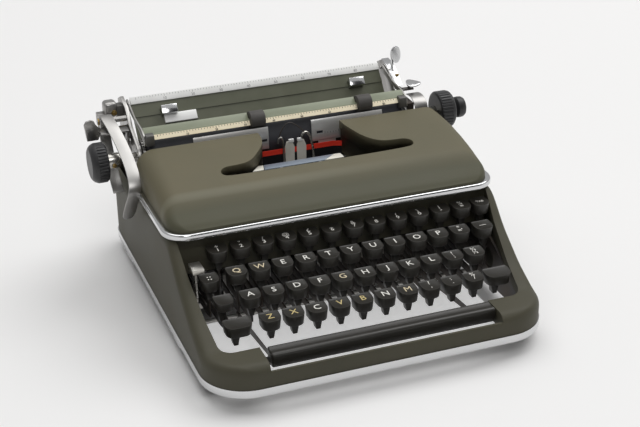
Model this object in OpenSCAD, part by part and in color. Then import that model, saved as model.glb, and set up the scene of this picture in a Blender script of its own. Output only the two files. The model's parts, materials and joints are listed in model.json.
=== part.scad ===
/* [Body] */
// Width of the body over the chrome base trim
body_w = 282; // [276:1:300]
// Depth of the body
body_d = 320; // [316:1:330]
// Radius of the front corners in plan
front_r = 36; // [28:1:40]
// Radius of the rear corners in plan
rear_r = 25; // [15:1:35]
// Wall thickness of the pressed housing
wall = 2.2; // [1.6:0.2:3]
// Height of the side wall beside the cover
side_z = 94.5; // [94:0.5:95.5]
// Height of the chrome trim round the base
trim_h = 6.3; // [4:0.1:8]
// Height of the rubber feet under the base
foot_h = 13.7; // [12:0.1:14]

/* [Cover] */
// Width of the ribbon cover at its foot
cover_w = 275; // [270:1:276]
// Sheet thickness of the ribbon cover
cover_t = 1.6; // [1.2:0.2:2]
// Left end of the opening over the type basket
slot_left = -76; // [-78:1:-70]
// Right end of the opening over the type basket
slot_right = 82; // [76:1:84]

/* [Keyboard] */
// Distance between neighbouring keys of a row
key_pitch = 19.05; // [18.6:0.05:19.1]
// Width of a key top
key_w = 16.4; // [14:0.1:16.6]
// Depth of a key top
key_d = 14.6; // [12:0.1:15]
// Step between key rows towards the rear
row_y = 18.43; // [18:0.01:19]
// Step between key rows upwards
row_z = 12.05; // [11:0.05:12.5]
// Height of the front row's key tops
key_z = 49.7; // [49:0.1:51]
// Thickness of a key lever
lever_t = 1.5; // [1:0.1:1.6]

/* [Type basket] */
// Number of type bars
bars = 44; // [30:1:44]
// Radius of the circle on which the type bars hinge
bar_r = 60; // [59:0.5:61]
// Half the angle that the fan of type bars spans
fan = 66; // [60:1:68]

/* [Carriage] */
// Radius of the platen
platen_r = 16.5; // [15.5:0.1:16.7]
// Height of the platen's axis
platen_z = 114; // [113.8:0.1:114.5]
// Radius of the large platen knobs
knob_r = 17; // [14:0.5:18]
// Lift of the platen frame when shift is pressed
shift_lift = 6.5; // [5:0.1:7]

/* [Hidden] */
$fn = 48;
eps = 0.01;
half_w = body_w / 2;
front_y = -160;
back_y = front_y + body_d;
run = 0.05;
gap = 0.3;
trim_out = 1;
trim_top = foot_h + trim_h;
// Clear width behind the keyboard panel and the mouth in front of it
inner_x = half_w - trim_out - 5;
mouth_rear = half_w - trim_out - 7;
mouth_side = half_w - trim_out - 14.5;
mouth_front = -132;
mouth_r = 11;
rim_d = 7;
slope_y = -126;
panel_y = -44;
lobe_x = 95;
lobe_z = 38.5;
apron_z = 32.5;
deck_z = 80;
deck_y = 62;
strip_y = -52.5;
strip_h = 5.5;
cover_z = side_z + strip_h;
cover_front = -49.5;
cover_back = 57;
cover_top = 128;
// Keyboard places
q_x = -93.27;
key_y = -109;
row_x = [q_x + 0.75 * key_pitch, q_x + 0.25 * key_pitch, q_x, q_x - 0.5 * key_pitch];
row_n = [10, 11, 11, 12];
fulcrum_y = 100;
fulcrum_z = 40;
rod_r = 2;
lever_top = 43;
lever_grid = key_pitch / 4;
lever_h = 6.5;
frame_x = 128;
comb_y = -30;
comb_z = 25.5;
space_y = -50;
space_z = 20;
space_r = 1.6;
foot_x = 123;
tab_t = 2;
frame_z = foot_h + tab_t;
// Type basket places
basket_x = 4;
seg_y = 47;
seg_t = 9;
seg_drop = 17;
print_z = platen_z - 1;
bar_l = 58;
bar_step = 2 * fan / bars;
rest_r = bar_r + 4.5;
rest_t = 3;
rest_y = -11;
rest_d = 6;
stud_z = 59;
bridge_z = 70;
bar_t = 1.2;
spool_x = 85;
spool_y = 20;
spool_z = 99;
spool_r = 24;
ribbon_z = 98.2;
ribbon_h = 12.7;
ribbon_y = 54.6;
// Carriage places
car_x = -9;
platen_y = 78;
platen_x0 = car_x - 115;
platen_x1 = car_x + 115;
shaft_r = 4;
plate_t = 3;
plate_l = platen_x0 - 5;
plate_r = platen_x1 + 5;
rail_r = 4;
rail_z = 85;
rail_front = 92;
rail_rear = 126;
runner_x = [-20, 76];
bed_z = 91;
bed_t = 4;
beam_y = 106;
beam_d = 12;
beam_h = 8;
post_r = 3;
post_h = bed_t + gap + beam_h + shift_lift + 3.2;
post_x = [plate_l + 14, plate_r - 14];
table_y = 99;
table_z = 113;
table_len = 43;
table_a = 51;
bail_y = 120;
bail_z = 146;
roller_x = [-35, 63];
roller_l = 13;
roller_y = 67.9;
roller_z = 136.2;
roller_r = 7.4;
lever_x = -half_w - 9;
lever_w = 12;
lever_y = 108;
lever_z = 138;
feed_y = 97.7;
feed_z = 103;
paper_y = 112;
paper_z = 136;
release_y = 96;
release_z = 122;
end_x = half_w + 31;
drum_x = -95;
bell_x = 70;

function key_x(row, col) = row_x[row] + col * key_pitch;
function key_at(row, col) = [key_x(row, col), key_y + row * row_y, key_z + row * row_z];

// Plan of the body with two corner radii, shrunk by an inset
module plan(inset = 0) {
    fr = front_r - inset;
    rr = rear_r - inset;
    w = half_w - trim_out - inset;
    f = front_y + trim_out + inset;
    b = back_y - trim_out - inset;
    for (s = [-1, 1]) {
        translate([s * (w - fr), f + fr]) circle(r = fr, $fn = 96);
        translate([s * (w - rr), b - rr]) circle(r = rr, $fn = 96);
    }
    translate([-w, f + fr]) square([2 * w, b - rr - f - fr]);
    translate([-w + fr, f]) square([2 * (w - fr), fr + eps]);
    translate([-w + rr, b - rr - eps]) square([2 * (w - rr), rr + eps]);
}

// Extrudes a (y, z) profile along X between two places
module along_x(x0, x1) {
    translate([x0, 0, 0]) rotate([90, 0, 90]) linear_extrude(x1 - x0) children();
}

module rod_x(x0, x1, y, z, r, sides = 48) {
    translate([x0, y, z]) rotate([0, 90, 0]) cylinder(r = r, h = x1 - x0, $fn = sides);
}

// Side outline of the housing, lowered for the inside of the shell
module side_profile(drop = 0) {
    polygon([
        [front_y - 1, foot_h - 1], [front_y - 1, 31 - drop], [front_y + 3, 36.5 - drop],
        [front_y + 9, lobe_z - drop], [slope_y, lobe_z - drop], [-98.8, 51 - drop], [-68.7, 71.5 - drop],
        [-50, 90 - drop], [-44, side_z - drop], [deck_y - 5, side_z - drop], [deck_y, deck_z - drop],
        [back_y - 10, deck_z - drop], [back_y - 2, deck_z - 5 - drop], [back_y + 1, deck_z - 16 - drop],
        [back_y + 1, foot_h - 1]
    ]);
}

// Plan of the mouth, wider at the rear, with round front corners, grown by a margin
module mouth(grow = 0) {
    r = mouth_r + grow;
    x = mouth_side + grow;
    f = mouth_front - grow;
    polygon([
        [-mouth_rear - grow, panel_y], [-x, f + r], [-x + r, f], [x - r, f], [x, f + r],
        [mouth_rear + grow, panel_y]
    ]);
    for (s = [-1, 1]) translate([s * (x - r), f + r]) circle(r = r);
}

// Plan of the recess in which the space bar lies, grown by a margin
module recess(grow = 0) {
    translate([-lobe_x - grow, front_y + wall + 1]) square([2 * (lobe_x + grow), slope_y - front_y - wall]);
}

module lower_housing() {
    rim = trim_top;
    color("#4b4a3a") difference() {
        intersection() {
            translate([0, 0, rim]) linear_extrude(side_z) plan();
            along_x(-half_w, half_w) side_profile();
        }
        difference() {
            intersection() {
                translate([0, 0, rim - 1]) linear_extrude(side_z) plan(wall);
                along_x(-half_w, half_w) side_profile(wall);
            }
            difference() {
                translate([0, 0, rim]) linear_extrude(side_z) union() {
                    mouth(wall);
                    recess(wall);
                }
                along_x(-half_w, half_w) side_profile(rim_d);
            }
        }
        translate([0, 0, rim - 1]) linear_extrude(side_z) mouth();
        translate([0, 0, rim - 1]) linear_extrude(side_z) recess();
        translate([-lobe_x, front_y - 1, apron_z]) cube([2 * lobe_x, 20, side_z]);
        translate([-inner_x, panel_y + wall, rim]) cube([2 * inner_x, back_y - 14 - panel_y, side_z]);
        translate([-inner_x, panel_y - 1, rim]) cube([2 * inner_x, wall + 2, 62 - rim]);
    }
}

// Chrome moulding round the base with the flange that carries the housing
module base_trim() {
    color("#c9cbcc") {
        difference() {
            translate([0, 0, foot_h]) linear_extrude(trim_h) plan(-trim_out);
            translate([0, 0, foot_h - 1]) linear_extrude(trim_h + 2) plan(wall);
        }
        for (s = [0, 1]) for (y = [-112, 108]) mirror([s, 0, 0]) difference() {
            translate([foot_x - 13, y - 12, foot_h]) cube([half_w - foot_x + 10, 24, tab_t]);
            translate([foot_x, y, foot_h - 1]) cylinder(r = 2.5, h = 4);
        }
        for (s = [-1, 1]) for (y = [-66, 88]) translate([s * (half_w - 2) - 1, y, foot_h - 4.7])
            cube([2, 37, 4.7 + eps]);
    }
}

module side_strip() {
    r = 20;
    w = half_w + 1;
    inner = w - 6;
    color("#d4d6d7") translate([0, 0, side_z]) linear_extrude(strip_h) difference() {
        union() {
            translate([-w, strip_y + r]) square([2 * w, deck_y - 6 - strip_y - r]);
            translate([-w + r, strip_y]) square([2 * (w - r), r + eps]);
            for (s = [-1, 1]) translate([s * (w - r), strip_y + r]) circle(r = r, $fn = 96);
        }
        translate([-inner, strip_y + r]) square([2 * inner, body_d]);
        translate([-inner + r - 6, strip_y + 6]) square([2 * (inner - r + 6), r]);
        for (s = [-1, 1]) translate([s * (w - r), strip_y + r]) circle(r = r - 6, $fn = 96);
    }
}

module feet() {
    color("#1c1c1c") for (s = [-1, 1]) for (y = [-112, 108])
        translate([s * foot_x, y, 0]) {
            cylinder(r1 = 9, r2 = 11, h = foot_h);
            translate([0, 0, foot_h - eps]) cylinder(r = 2.4, h = 6);
        }
}

// Pressed side plates of the chassis with holes for every cross rod
module side_frames() {
    color("#5d6063") for (s = [-1, 1]) difference() {
        translate([s > 0 ? frame_x : -frame_x - 2, 0, 0]) along_x(0, 2) difference() {
            polygon([
                [-124, frame_z], [148, frame_z], [148, 76], [134, 90], [84, 90], [70, 84], [-36, 84],
                [-44, 64], [-60, 60], [-124, 30]
            ]);
            translate([20, 50]) circle(r = 16);
            translate([-66, 38]) circle(r = 9);
        }
        rod_x(-half_w, half_w, fulcrum_y, fulcrum_z, rod_r);
        rod_x(-half_w, half_w, space_y, space_z, space_r);
    }
    color("#5d6063") rod_x(-frame_x - eps, -frame_x + 3.5, -69, 52, 2);
}

// Square cross bars that tie the two side frames
module cross_bars() {
    bar = 6;
    color("#3a3b3c") {
        translate([-frame_x, -124, frame_z]) cube([2 * frame_x, bar, 4]);
        for (p = [[-20, frame_z + 2], [60, frame_z + 2], [140, frame_z + 2], [140, stud_z - 3]])
            translate([-frame_x, p[0], p[1]]) cube([2 * frame_x, bar, bar]);
        translate([-frame_x, seg_y + seg_t, bridge_z]) cube([2 * frame_x, 4, bar]);
        translate([-frame_x, rest_y, print_z - rest_r - rest_t - 2]) cube([2 * frame_x, rest_d, 2]);
        for (x = [drum_x, car_x]) translate([x, 141, stud_z]) rotate([90, 0, 0]) cylinder(r = 3, h = 35);
        translate([bell_x, 141, stud_z]) rotate([90, 0, 0]) cylinder(r = 2, h = 20);
    }
}

// Hinge rods of the key levers and of the space bar
module lever_rod() {
    color("#8d9093") {
        rod_x(-frame_x - 4, frame_x + 4, fulcrum_y, fulcrum_z, rod_r);
        rod_x(-frame_x - 4, frame_x + 4, space_y, space_z, space_r);
    }
}

// Slotted bar that keeps the key levers apart
module key_comb() {
    x0 = key_x(3, 0) - lever_grid / 2;
    slots = 45;
    color("#6b6d70") {
        translate([-frame_x, comb_y, comb_z - 5]) cube([2 * frame_x, 3, 5]);
        difference() {
            translate([x0, comb_y, comb_z - eps]) cube([slots * lever_grid, 3, 22]);
            for (i = [0:slots - 1]) translate([x0 + (i + 0.5) * lever_grid - 1.1, comb_y - 1, comb_z])
                cube([2.2, 5, 23]);
        }
    }
}

// Key top with a straight rear edge and a round front, over a narrower body
module key_cap(w = key_w) {
    r = min(key_w, w) / 2;
    module top_plan(s) {
        scale([s, s]) {
            translate([-(w / 2) , 0]) square([w, key_d - r]);
            translate([-(w - 2 * r) / 2, -r]) square([w - 2 * r + eps, r + eps]);
            for (e = [-1, 1]) translate([e * (w - 2 * r) / 2, 0]) circle(r = r);
        }
    }
    translate([0, 0, -2.4]) linear_extrude(2.4) top_plan(1);
    translate([0, 0, -5.2]) linear_extrude(3) top_plan(0.86);
    translate([0, 0, -8.2]) linear_extrude(3.2) top_plan(0.62);
}

// Bar, eye on the lever rod and upright under the key top, all in one lever
module lever(x, y, z, top = lever_top) {
    translate([x - lever_t / 2, 0, 0]) difference() {
        union() {
            translate([0, y - 4, top - lever_h]) cube([lever_t, fulcrum_y - y + 4, lever_h]);
            rod_x(0, lever_t, fulcrum_y, fulcrum_z, 6);
            translate([0, y - 4, top - lever_h]) cube([lever_t, 8, z - 8 - top + lever_h]);
        }
        rod_x(-1, lever_t + 1, fulcrum_y, fulcrum_z, rod_r + run);
    }
}

module key(row, col) {
    p = key_at(row, col);
    color("#1d1d1c") {
        lever(p[0], p[1], p[2]);
        translate([p[0], p[1], p[2]]) key_cap();
    }
}

// One diagonal column of keys, front row first; the last two columns share a node
module key_column(c) {
    for (row = [0:3]) if (c < row_n[row]) key(row, c);
    if (c == 9) {
        for (row = [1:3]) key(row, 10);
        key(3, 11);
    }
}

// Key outside the lettered field, with its lever off the cap's middle where it must be
module special_key(x, row, w, lever_off = 0, drop = 0) {
    y = key_y + row * row_y;
    z = key_z + row * row_z - drop;
    color("#1d1d1c") {
        lever(x + lever_off, y, z);
        translate([x, y, z]) key_cap(w);
    }
}

module shift_key_left() { special_key(-105, 0, 22, -2.5); }
module shift_key_right() { special_key(113.5, 0, 22, -2.5); }
module shift_lock_key() { special_key(-110, 1, 15, -2, 0.5); }
module margin_key() { special_key(-115.5, 2, 15, -1, 2); }
module tab_key() { special_key(124, 3, 15, 0.5); }
module back_space_key() { special_key(118, 2, key_w, 1); }

module space_bar() {
    x0 = key_x(3, 0) + 3.5 * lever_grid;
    x1 = key_x(3, 0) + 38.5 * lever_grid;
    t = 1.6;
    color("#1b1b1a") {
        along_x(-90.5, 94) {
            translate([-147, 27]) square([13, 10.4]);
            translate([-145, 27]) square([9, 12.4]);
            for (y = [-145, -136]) translate([y, 37.4]) circle(r = 2, $fn = 24);
        }
        for (x = [x0, x1]) along_x(x - t / 2, x + t / 2) difference() {
            union() {
                polygon([[-140, 28], [-140, 32], [space_y, space_z + 3.5], [space_y, space_z - 3]]);
                translate([space_y, space_z]) circle(r = 3.5);
            }
            translate([space_y, space_z]) circle(r = space_r + run);
        }
    }
}

module ribbon_selector() {
    color("#b9bbbd") difference() {
        union() {
            translate([-frame_x + 1.2, -74, 52]) cube([1.6, 10, 26]);
            rod_x(-frame_x + 1.2, -frame_x + 2.8, -69, 52, 5);
        }
        rod_x(-frame_x, -frame_x + 4, -69, 52, 2 + run);
    }
    color("#f0efe8") translate([-frame_x - 1, -77, 78]) cube([9, 14, 4]);
}

// Half ring with one radial slot for each type bar
module segment() {
    color("#7a7d80") translate([basket_x, 0, print_z]) difference() {
        translate([0, seg_y + seg_t, 0]) rotate([90, 0, 0]) linear_extrude(seg_t) difference() {
            circle(r = bar_r + 9, $fn = 128);
            circle(r = bar_r - 8, $fn = 128);
            translate([-100, -seg_drop]) square([200, 100]);
        }
        for (i = [0:bars - 1]) translate([0, seg_y - 1, 0]) rotate([0, fan - i * bar_step, 0])
            translate([-0.8, 0, -bar_r - 4]) cube([1.6, seg_t - 2, 20]);
    }
}

// A type bar lying forward from its hinge in the segment, with its type slug
module type_bar(a) {
    hinge_y = seg_y + 3;
    slug = 4;
    translate([basket_x, 0, print_z]) rotate([0, a, 0]) translate([0, hinge_y, -bar_r]) {
        translate([-bar_t / 2, -bar_l, -2]) cube([bar_t, bar_l + 2, 4]);
        translate([-0.9, -bar_l - 2, -3]) cube([1.8, slug, 6]);
        if (a == 0) rod_x(-bar_t / 2, bar_t / 2, 0, 0, 2.6);
    }
}

module type_bars() {
    color("#54575a") for (i = [0:bars - 1]) if (i != bars / 2) type_bar(fan - i * bar_step);
}

module type_bar_centre() {
    color("#6a6d70") type_bar(0);
}

// Half ring under the type heads with the blue-grey plate across its top
module type_rest() {
    color("#7d8a9a") {
        translate([basket_x, rest_y + rest_d, print_z]) rotate([90, 0, 0]) linear_extrude(rest_d) difference() {
            circle(r = rest_r + rest_t, $fn = 96);
            circle(r = rest_r, $fn = 96);
            translate([-100, -3]) square([200, 100]);
        }
        translate([basket_x - rest_r - rest_t, rest_y, print_z - 4.5]) cube([2 * (rest_r + rest_t), rest_d, 1.5]);
        translate([basket_x - 38, rest_y + rest_d - eps, print_z - 4.5]) cube([68, 14, 1.5]);
    }
}

module ribbon_cups() {
    color("#3d3e3f") for (s = [-1, 1]) translate([s * spool_x, spool_y, spool_z - 4]) {
        difference() {
            cylinder(r = spool_r + 4, h = 7);
            translate([0, 0, 1.5]) cylinder(r = spool_r + 2.5, h = 8);
            translate([s * -20, 24, 7]) cube([34, 24, 10], center = true);
        }
        translate([0, 0, -15 + eps]) cylinder(r = 5, h = 15);
        cylinder(r = 2, h = 14);
    }
    color("#3d3e3f") for (s = [-1, 1]) translate([s * (frame_x - 28), spool_y, spool_z - 20])
        cube([56, 8, 4], center = true);
}

module ribbon_spool(s) {
    color("#2a2b2c") translate([s * spool_x, spool_y, spool_z - 2]) difference() {
        union() {
            cylinder(r = spool_r, h = 0.8);
            cylinder(r = spool_r - 6, h = ribbon_h + 1.8);
            translate([0, 0, ribbon_h + 1.8]) cylinder(r = spool_r, h = 0.8);
        }
        translate([0, 0, -1]) cylinder(r = 2 + run, h = 20);
    }
}

module ribbon_spool_left() { ribbon_spool(-1); }
module ribbon_spool_right() { ribbon_spool(1); }

// Flat band from both spools over the guides and past the printing point
module ribbon() {
    x1 = 36;
    t = 0.4;
    module run_of(a, b) {
        d = b - a;
        translate(a) rotate(atan2(d[1], d[0])) translate([0, -t / 2]) square([norm(d), t]);
    }
    color("#b51f1a") translate([0, 0, ribbon_z]) linear_extrude(ribbon_h) {
        translate([-x1, ribbon_y - t / 2]) square([2 * x1, t]);
        for (s = [-1, 1]) run_of([s * (spool_x - 8), spool_y + spool_r - 5], [s * x1, ribbon_y]);
    }
}

// Sliding guide with two prongs and wire loops in front of the ribbon
module type_guide() {
    prong_y = ribbon_y - 1.8;
    color("#c4c6c8") translate([basket_x, 0, 0]) {
        for (s = [-1, 1]) translate([s * 8 - 4.5, prong_y, 90]) cube([9, 0.8, 23]);
        translate([-12.5, prong_y, 84]) cube([25, 0.8, 7]);
        for (s = [-1, 1]) translate([s * 13.5, ribbon_y - 1.4, 84]) cylinder(r = 0.8, h = 36, $fn = 16);
        for (s = [-1, 1]) translate([s * 13 - 1.5, prong_y, 84]) cube([3, 1.4, 3]);
        translate([-13.5, ribbon_y - 1.4, 119.5]) rotate([0, 90, 0]) cylinder(r = 0.7, h = 27, $fn = 16);
    }
}

// Card plates close to the platen, on feet from the bridge behind the segment
module card_holders() {
    foot_w = 16;
    color("#c9cbcc") for (p = [[-87, -47], [18, 24]]) difference() {
        union() {
            translate([p[0], 58.2, 112]) cube([66, 0.9, 21]);
            translate([p[1], 58.2, bridge_z + 6]) cube([foot_w, 0.9, 37]);
            translate([p[1], seg_y + seg_t, bridge_z + 6]) cube([foot_w, 3.1, 1.5]);
        }
        translate([p[0] < 0 ? p[0] + 58 : p[0] + 4, 57, 116]) cube([4, 3, 3]);
    }
}

module carriage_rails() {
    color("#a7aaad") for (y = [rail_front, rail_rear]) rod_x(-frame_x, frame_x, y, rail_z, rail_r);
}

module mainspring_drum() {
    color("#8a7a52") translate([drum_x, 108, stud_z]) rotate([-90, 0, 0]) difference() {
        union() {
            cylinder(r = 18, h = 12);
            for (z = [0, 12]) translate([0, 0, z - 0.6]) cylinder(r = 19.5, h = 1.2);
        }
        translate([0, 0, -2]) cylinder(r = 3 + run, h = 20);
    }
}

module escapement_wheel() {
    teeth = 24;
    color("#b08d4a") translate([car_x, 108, stud_z]) rotate([-90, 0, 0]) linear_extrude(2.4) difference() {
        union() {
            circle(r = 11);
            for (i = [0:teeth - 1]) rotate(i * 360 / teeth) translate([10, -0.7]) square([3.4, 1.4]);
        }
        circle(r = 3 + run);
    }
}

// Domed bell
module bell() {
    r = 20;
    t = 1.2;
    color("#c0c2c4") translate([bell_x, 122, stud_z]) rotate([-90, 0, 0]) rotate_extrude() difference() {
        intersection() {
            circle(r = r, $fn = 64);
            translate([2, 0]) square([r, 14]);
        }
        intersection() {
            circle(r = r - t, $fn = 64);
            translate([0, -1]) square([r, 15 - t]);
        }
    }
}

// Outline of the ribbon cover seen from the side
module cover_side(inset = 0) {
    polygon([
        [cover_front + inset, cover_z - 1], [cover_front + inset, cover_z + 3],
        [cover_front + 10 + inset, 107 - inset / 2], [-29 + inset, 115 - inset / 2], [-24 + inset / 2, 118.5 - inset],
        [-12, 121.3 - inset], [4, 124.5 - inset], [22, 127 - inset], [38, cover_top - inset],
        [cover_back + 1, cover_top - inset], [cover_back + 1, cover_z - 1]
    ]);
}

module cover_front_view(inset = 0) {
    w = cover_w / 2 - inset;
    top = cover_top + 1 - inset;
    polygon([
        [-w, cover_z - 1], [-w, cover_z + 4], [-w + 5, 116 - inset], [-w + 8, 121 - inset], [-w + 14, 125.5 - inset],
        [-w + 24, top], [w - 24, top], [w - 14, 125.5 - inset], [w - 8, 121 - inset], [w - 5, 116 - inset],
        [w, cover_z + 4], [w, cover_z - 1]
    ]);
}

module cover_plan(inset = 0) {
    r = 18 - inset;
    w = cover_w / 2 - inset;
    f = cover_front + inset;
    translate([-w, f + r]) square([2 * w, cover_back - f - r]);
    translate([-w + r, f]) square([2 * (w - r), r + eps]);
    for (s = [-1, 1]) translate([s * (w - r), f + r]) circle(r = r, $fn = 96);
}

module cover_form(inset = 0) {
    intersection() {
        translate([0, 0, cover_z]) linear_extrude(40) cover_plan(inset);
        along_x(-half_w, half_w) cover_side(inset);
        translate([0, cover_back + 20, 0]) rotate([90, 0, 0]) linear_extrude(body_d) cover_front_view(inset);
    }
}

// Opening over the type basket: a throat from the rear and a tapering slot to each side
module basket_opening() {
    throat_l = basket_x - 36;
    throat_r = basket_x + 40;
    f = -5;
    translate([throat_l, f]) square([throat_r - throat_l, 90]);
    for (e = [[throat_l, slot_left, -1], [throat_r, slot_right, 1]]) {
        translate([e[1], f + 5]) circle(r = 5);
        polygon([
            [e[0] - e[2], f], [e[1], f], [e[1], f + 10], [e[1] - e[2] * 20, f + 15],
            [e[1] - e[2] * 32, f + 25], [e[0] + e[2] * 3, f + 38], [e[0] - e[2], f + 52]
        ]);
    }
}

module ribbon_cover() {
    color("#5c5a45") difference() {
        cover_form();
        translate([0, 0, -eps]) cover_form(cover_t);
        translate([0, 0, 103]) linear_extrude(60) basket_opening();
        translate([-cover_w / 2 + 4, cover_back - 3, cover_z - 1]) cube([cover_w - 8, 10, 22.5]);
    }
}

// Carriage bed riding on the two round rails
module carriage_bed() {
    color("#55585b") difference() {
        union() {
            translate([plate_l, rail_front - 7, bed_z]) cube([plate_r - plate_l, rail_rear - rail_front + 14, bed_t]);
            for (x = runner_x) for (y = [rail_front, rail_rear])
                translate([x, y - 6, rail_z - 6]) cube([20, 12, bed_z - rail_z + 6 + eps]);
            for (x = post_x) translate([x, beam_y + beam_d / 2, bed_z]) cylinder(r = post_r, h = post_h);
        }
        for (y = [rail_front, rail_rear]) rod_x(-half_w, half_w, y, rail_z, rail_r + run);
        for (x = [-95, -60, 30]) translate([x, rail_front - 2, bed_z - 1]) cube([22, 26, bed_t + 2]);
    }
}

// Side plates of the platen frame, tied by the beam that slides on the posts
module end_plates() {
    module outline() {
        translate([platen_y, platen_z]) circle(r = 12);
        polygon([
            [platen_y - 10, platen_z - 8], [beam_y, bed_z + bed_t + gap], [rail_rear + 6, bed_z + bed_t + gap],
            [rail_rear + 10, 146], [rail_rear, 151], [bail_y - 10, bail_z + 1], [96, 134],
            [platen_y - 4, platen_z + 11]
        ]);
    }
    color("#b4b6b8") difference() {
        union() {
            for (x = [plate_l - plate_t, plate_r]) along_x(x, x + plate_t) outline();
            translate([plate_l - eps, beam_y, bed_z + bed_t + gap])
                cube([plate_r - plate_l + 2 * eps, beam_d, beam_h]);
        }
        rod_x(-200, 200, platen_y, platen_z, shaft_r + run);
        rod_x(-200, 200, feed_y, feed_z, 2 + run);
        for (x = post_x) translate([x, beam_y + beam_d / 2, bed_z]) cylinder(r = post_r + run, h = 30);
    }
    color("#b4b6b8") {
        rod_x(lever_x - lever_w / 2 - 1, plate_l - 1, lever_y, lever_z, 2.5);
        rod_x(plate_l - plate_t - 4.5, plate_l - 1, release_y, release_z, 2);
        rod_x(plate_r + 1, plate_r + plate_t + 4.5, release_y, release_z, 2);
        rod_x(plate_r + 1, plate_r + plate_t + 2, paper_y, paper_z, 2);
        for (x = [plate_l - 1, plate_r - 3.4]) rod_x(x, x + 4.4, bail_y, bail_z, 1.5);
    }
}

module platen() {
    color("#27272a") difference() {
        rod_x(platen_x0, platen_x1, platen_y, platen_z, platen_r, 96);
        rod_x(platen_x0 - 1, platen_x1 + 1, platen_y, platen_z, shaft_r);
    }
}

module platen_shaft() {
    color("#b9bbbd") {
        rod_x(2 - end_x, end_x - 8, platen_y, platen_z, shaft_r);
        rod_x(lever_x - 7.6, lever_x + 3, platen_y, platen_z, 6.5);
    }
}

// Fluted grip with a smooth outer rim
module knob(x0, x1, outer) {
    flutes = 36;
    color("#1e1e1e") difference() {
        rod_x(x0, x1, platen_y, platen_z, knob_r, 96);
        rod_x(x0 - 1, x1 + 1, platen_y, platen_z, shaft_r);
        for (i = [0:flutes - 1]) translate([outer < 0 ? x0 + 5 : x0 - 1, platen_y, platen_z])
            rotate([i * 360 / flutes, 0, 0]) translate([0, knob_r - 0.7, -0.5]) cube([x1 - x0 - 4, 3, 1]);
    }
}

module left_knob() { knob(-end_x, lever_x - 8, -1); }
module right_knob() { knob(end_x - 28, end_x - 13, 1); }

module knob_button() {
    color("#1e1e1e") difference() {
        union() {
            rod_x(end_x - 10, end_x, platen_y, platen_z, 9.5);
            rod_x(end_x - 12.5, end_x - 9.5, platen_y, platen_z, 6.5);
        }
        rod_x(end_x - 14, end_x - 4, platen_y, platen_z, shaft_r + run);
    }
}

module ratchet_wheel() {
    teeth = 30;
    color("#9a9c9e") translate([platen_x0 - 4, platen_y, platen_z]) rotate([90, 0, 90]) linear_extrude(2) difference() {
        union() {
            circle(r = 13);
            for (i = [0:teeth - 1]) rotate(i * 360 / teeth) translate([12, -0.6]) square([2.6, 1.2]);
        }
        circle(r = shaft_r);
    }
}

module feed_roller() {
    color("#2b2b2b") {
        rod_x(plate_l - 2, plate_r + 2, feed_y, feed_z, 2);
        for (x = [-96, -44, 8, 60]) rod_x(x, x + 30, feed_y, feed_z, 5.6);
    }
}

// Sloping table behind the platen, on brackets from the beam
module paper_table() {
    color("#5f6350") {
        translate([platen_x0, table_y, table_z]) rotate([table_a, 0, 0])
            cube([platen_x1 + 1 - platen_x0, table_len, 1.6]);
        for (x = [-100, 80]) along_x(x, x + 3)
            polygon([[beam_y + 1, bed_z + bed_t + gap + beam_h], [beam_y + 11, bed_z + bed_t + gap + beam_h],
                [121, 137], [table_y + 2.2, table_z + 3]]);
        translate([platen_x0 + 1, table_y, table_z]) rotate([table_a, 0, 0])
            translate([0, 26, 1.6 - eps]) cube([platen_x1 - platen_x0, 4, 3]);
    }
}

module paper_ruler() {
    color("#cfd1d2") translate([platen_x0, table_y, table_z]) rotate([table_a, 0, 0])
        translate([0, table_len - 8.5, 1.65]) cube([platen_x1 + 1 - platen_x0, 10, 1]);
}

module margin_stop(x) {
    color("#c4c6c8") translate([x, table_y, table_z]) rotate([table_a, 0, 0]) difference() {
        translate([0, 24.2, 1.8]) cube([14, 7.6, 7]);
        translate([-1, 25.8, 0]) cube([16, 4.4, 4.8]);
    }
}

module margin_stop_left() { margin_stop(-100); }
module margin_stop_right() { margin_stop(74); }

// Scale bar on two long arms; the rod through it carries the rollers
module paper_bail() {
    x0 = plate_l + 1.2;
    x1 = plate_r - 1.2;
    arm = 1.4;
    color("#8f9a80") {
        difference() {
            translate([x0, 64, 132.5]) rotate([38, 0, 0]) cube([x1 - x0, 13, 1.2]);
            for (x = roller_x) rod_x(x - gap, x + roller_l + gap, roller_y, roller_z, roller_r + 1);
        }
        for (x = [x0, x1 - arm]) along_x(x, x + arm) difference() {
            union() {
                polygon([
                    [61, 128.5], [64, 138], [73, 140], [bail_y - 2, bail_z + 3], [bail_y + 3, bail_z - 2],
                    [90, 133.5], [68, 128.5]
                ]);
                translate([bail_y, bail_z]) circle(r = 4);
            }
            translate([bail_y, bail_z]) circle(r = 1.5 + run);
        }
        rod_x(x0 + 0.5, x1 - 0.5, roller_y, roller_z, 1);
    }
    color("#3c3d3f") for (x = [x0 + arm, x1 - arm - 7]) translate([x, 61, 128.5]) cube([7, 7, 10]);
}

module bail_rollers() {
    color("#222223") for (x = roller_x) difference() {
        rod_x(x, x + roller_l, roller_y, roller_z, roller_r);
        rod_x(x - 1, x + roller_l + 1, roller_y, roller_z, 1 + run);
    }
}

// Outline of a band of even thickness along a path
module band(path, t) {
    n = len(path);
    function way(i) = path[min(i + 1, n - 1)] - path[max(i - 1, 0)];
    function side(i, s) = let(d = way(i) / norm(way(i))) path[i] + s * t / 2 * [-d[1], d[0]];
    polygon(concat([for (i = [0:n - 1]) side(i, 1)], [for (i = [n - 1:-1:0]) side(i, -1)]));
}

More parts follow.
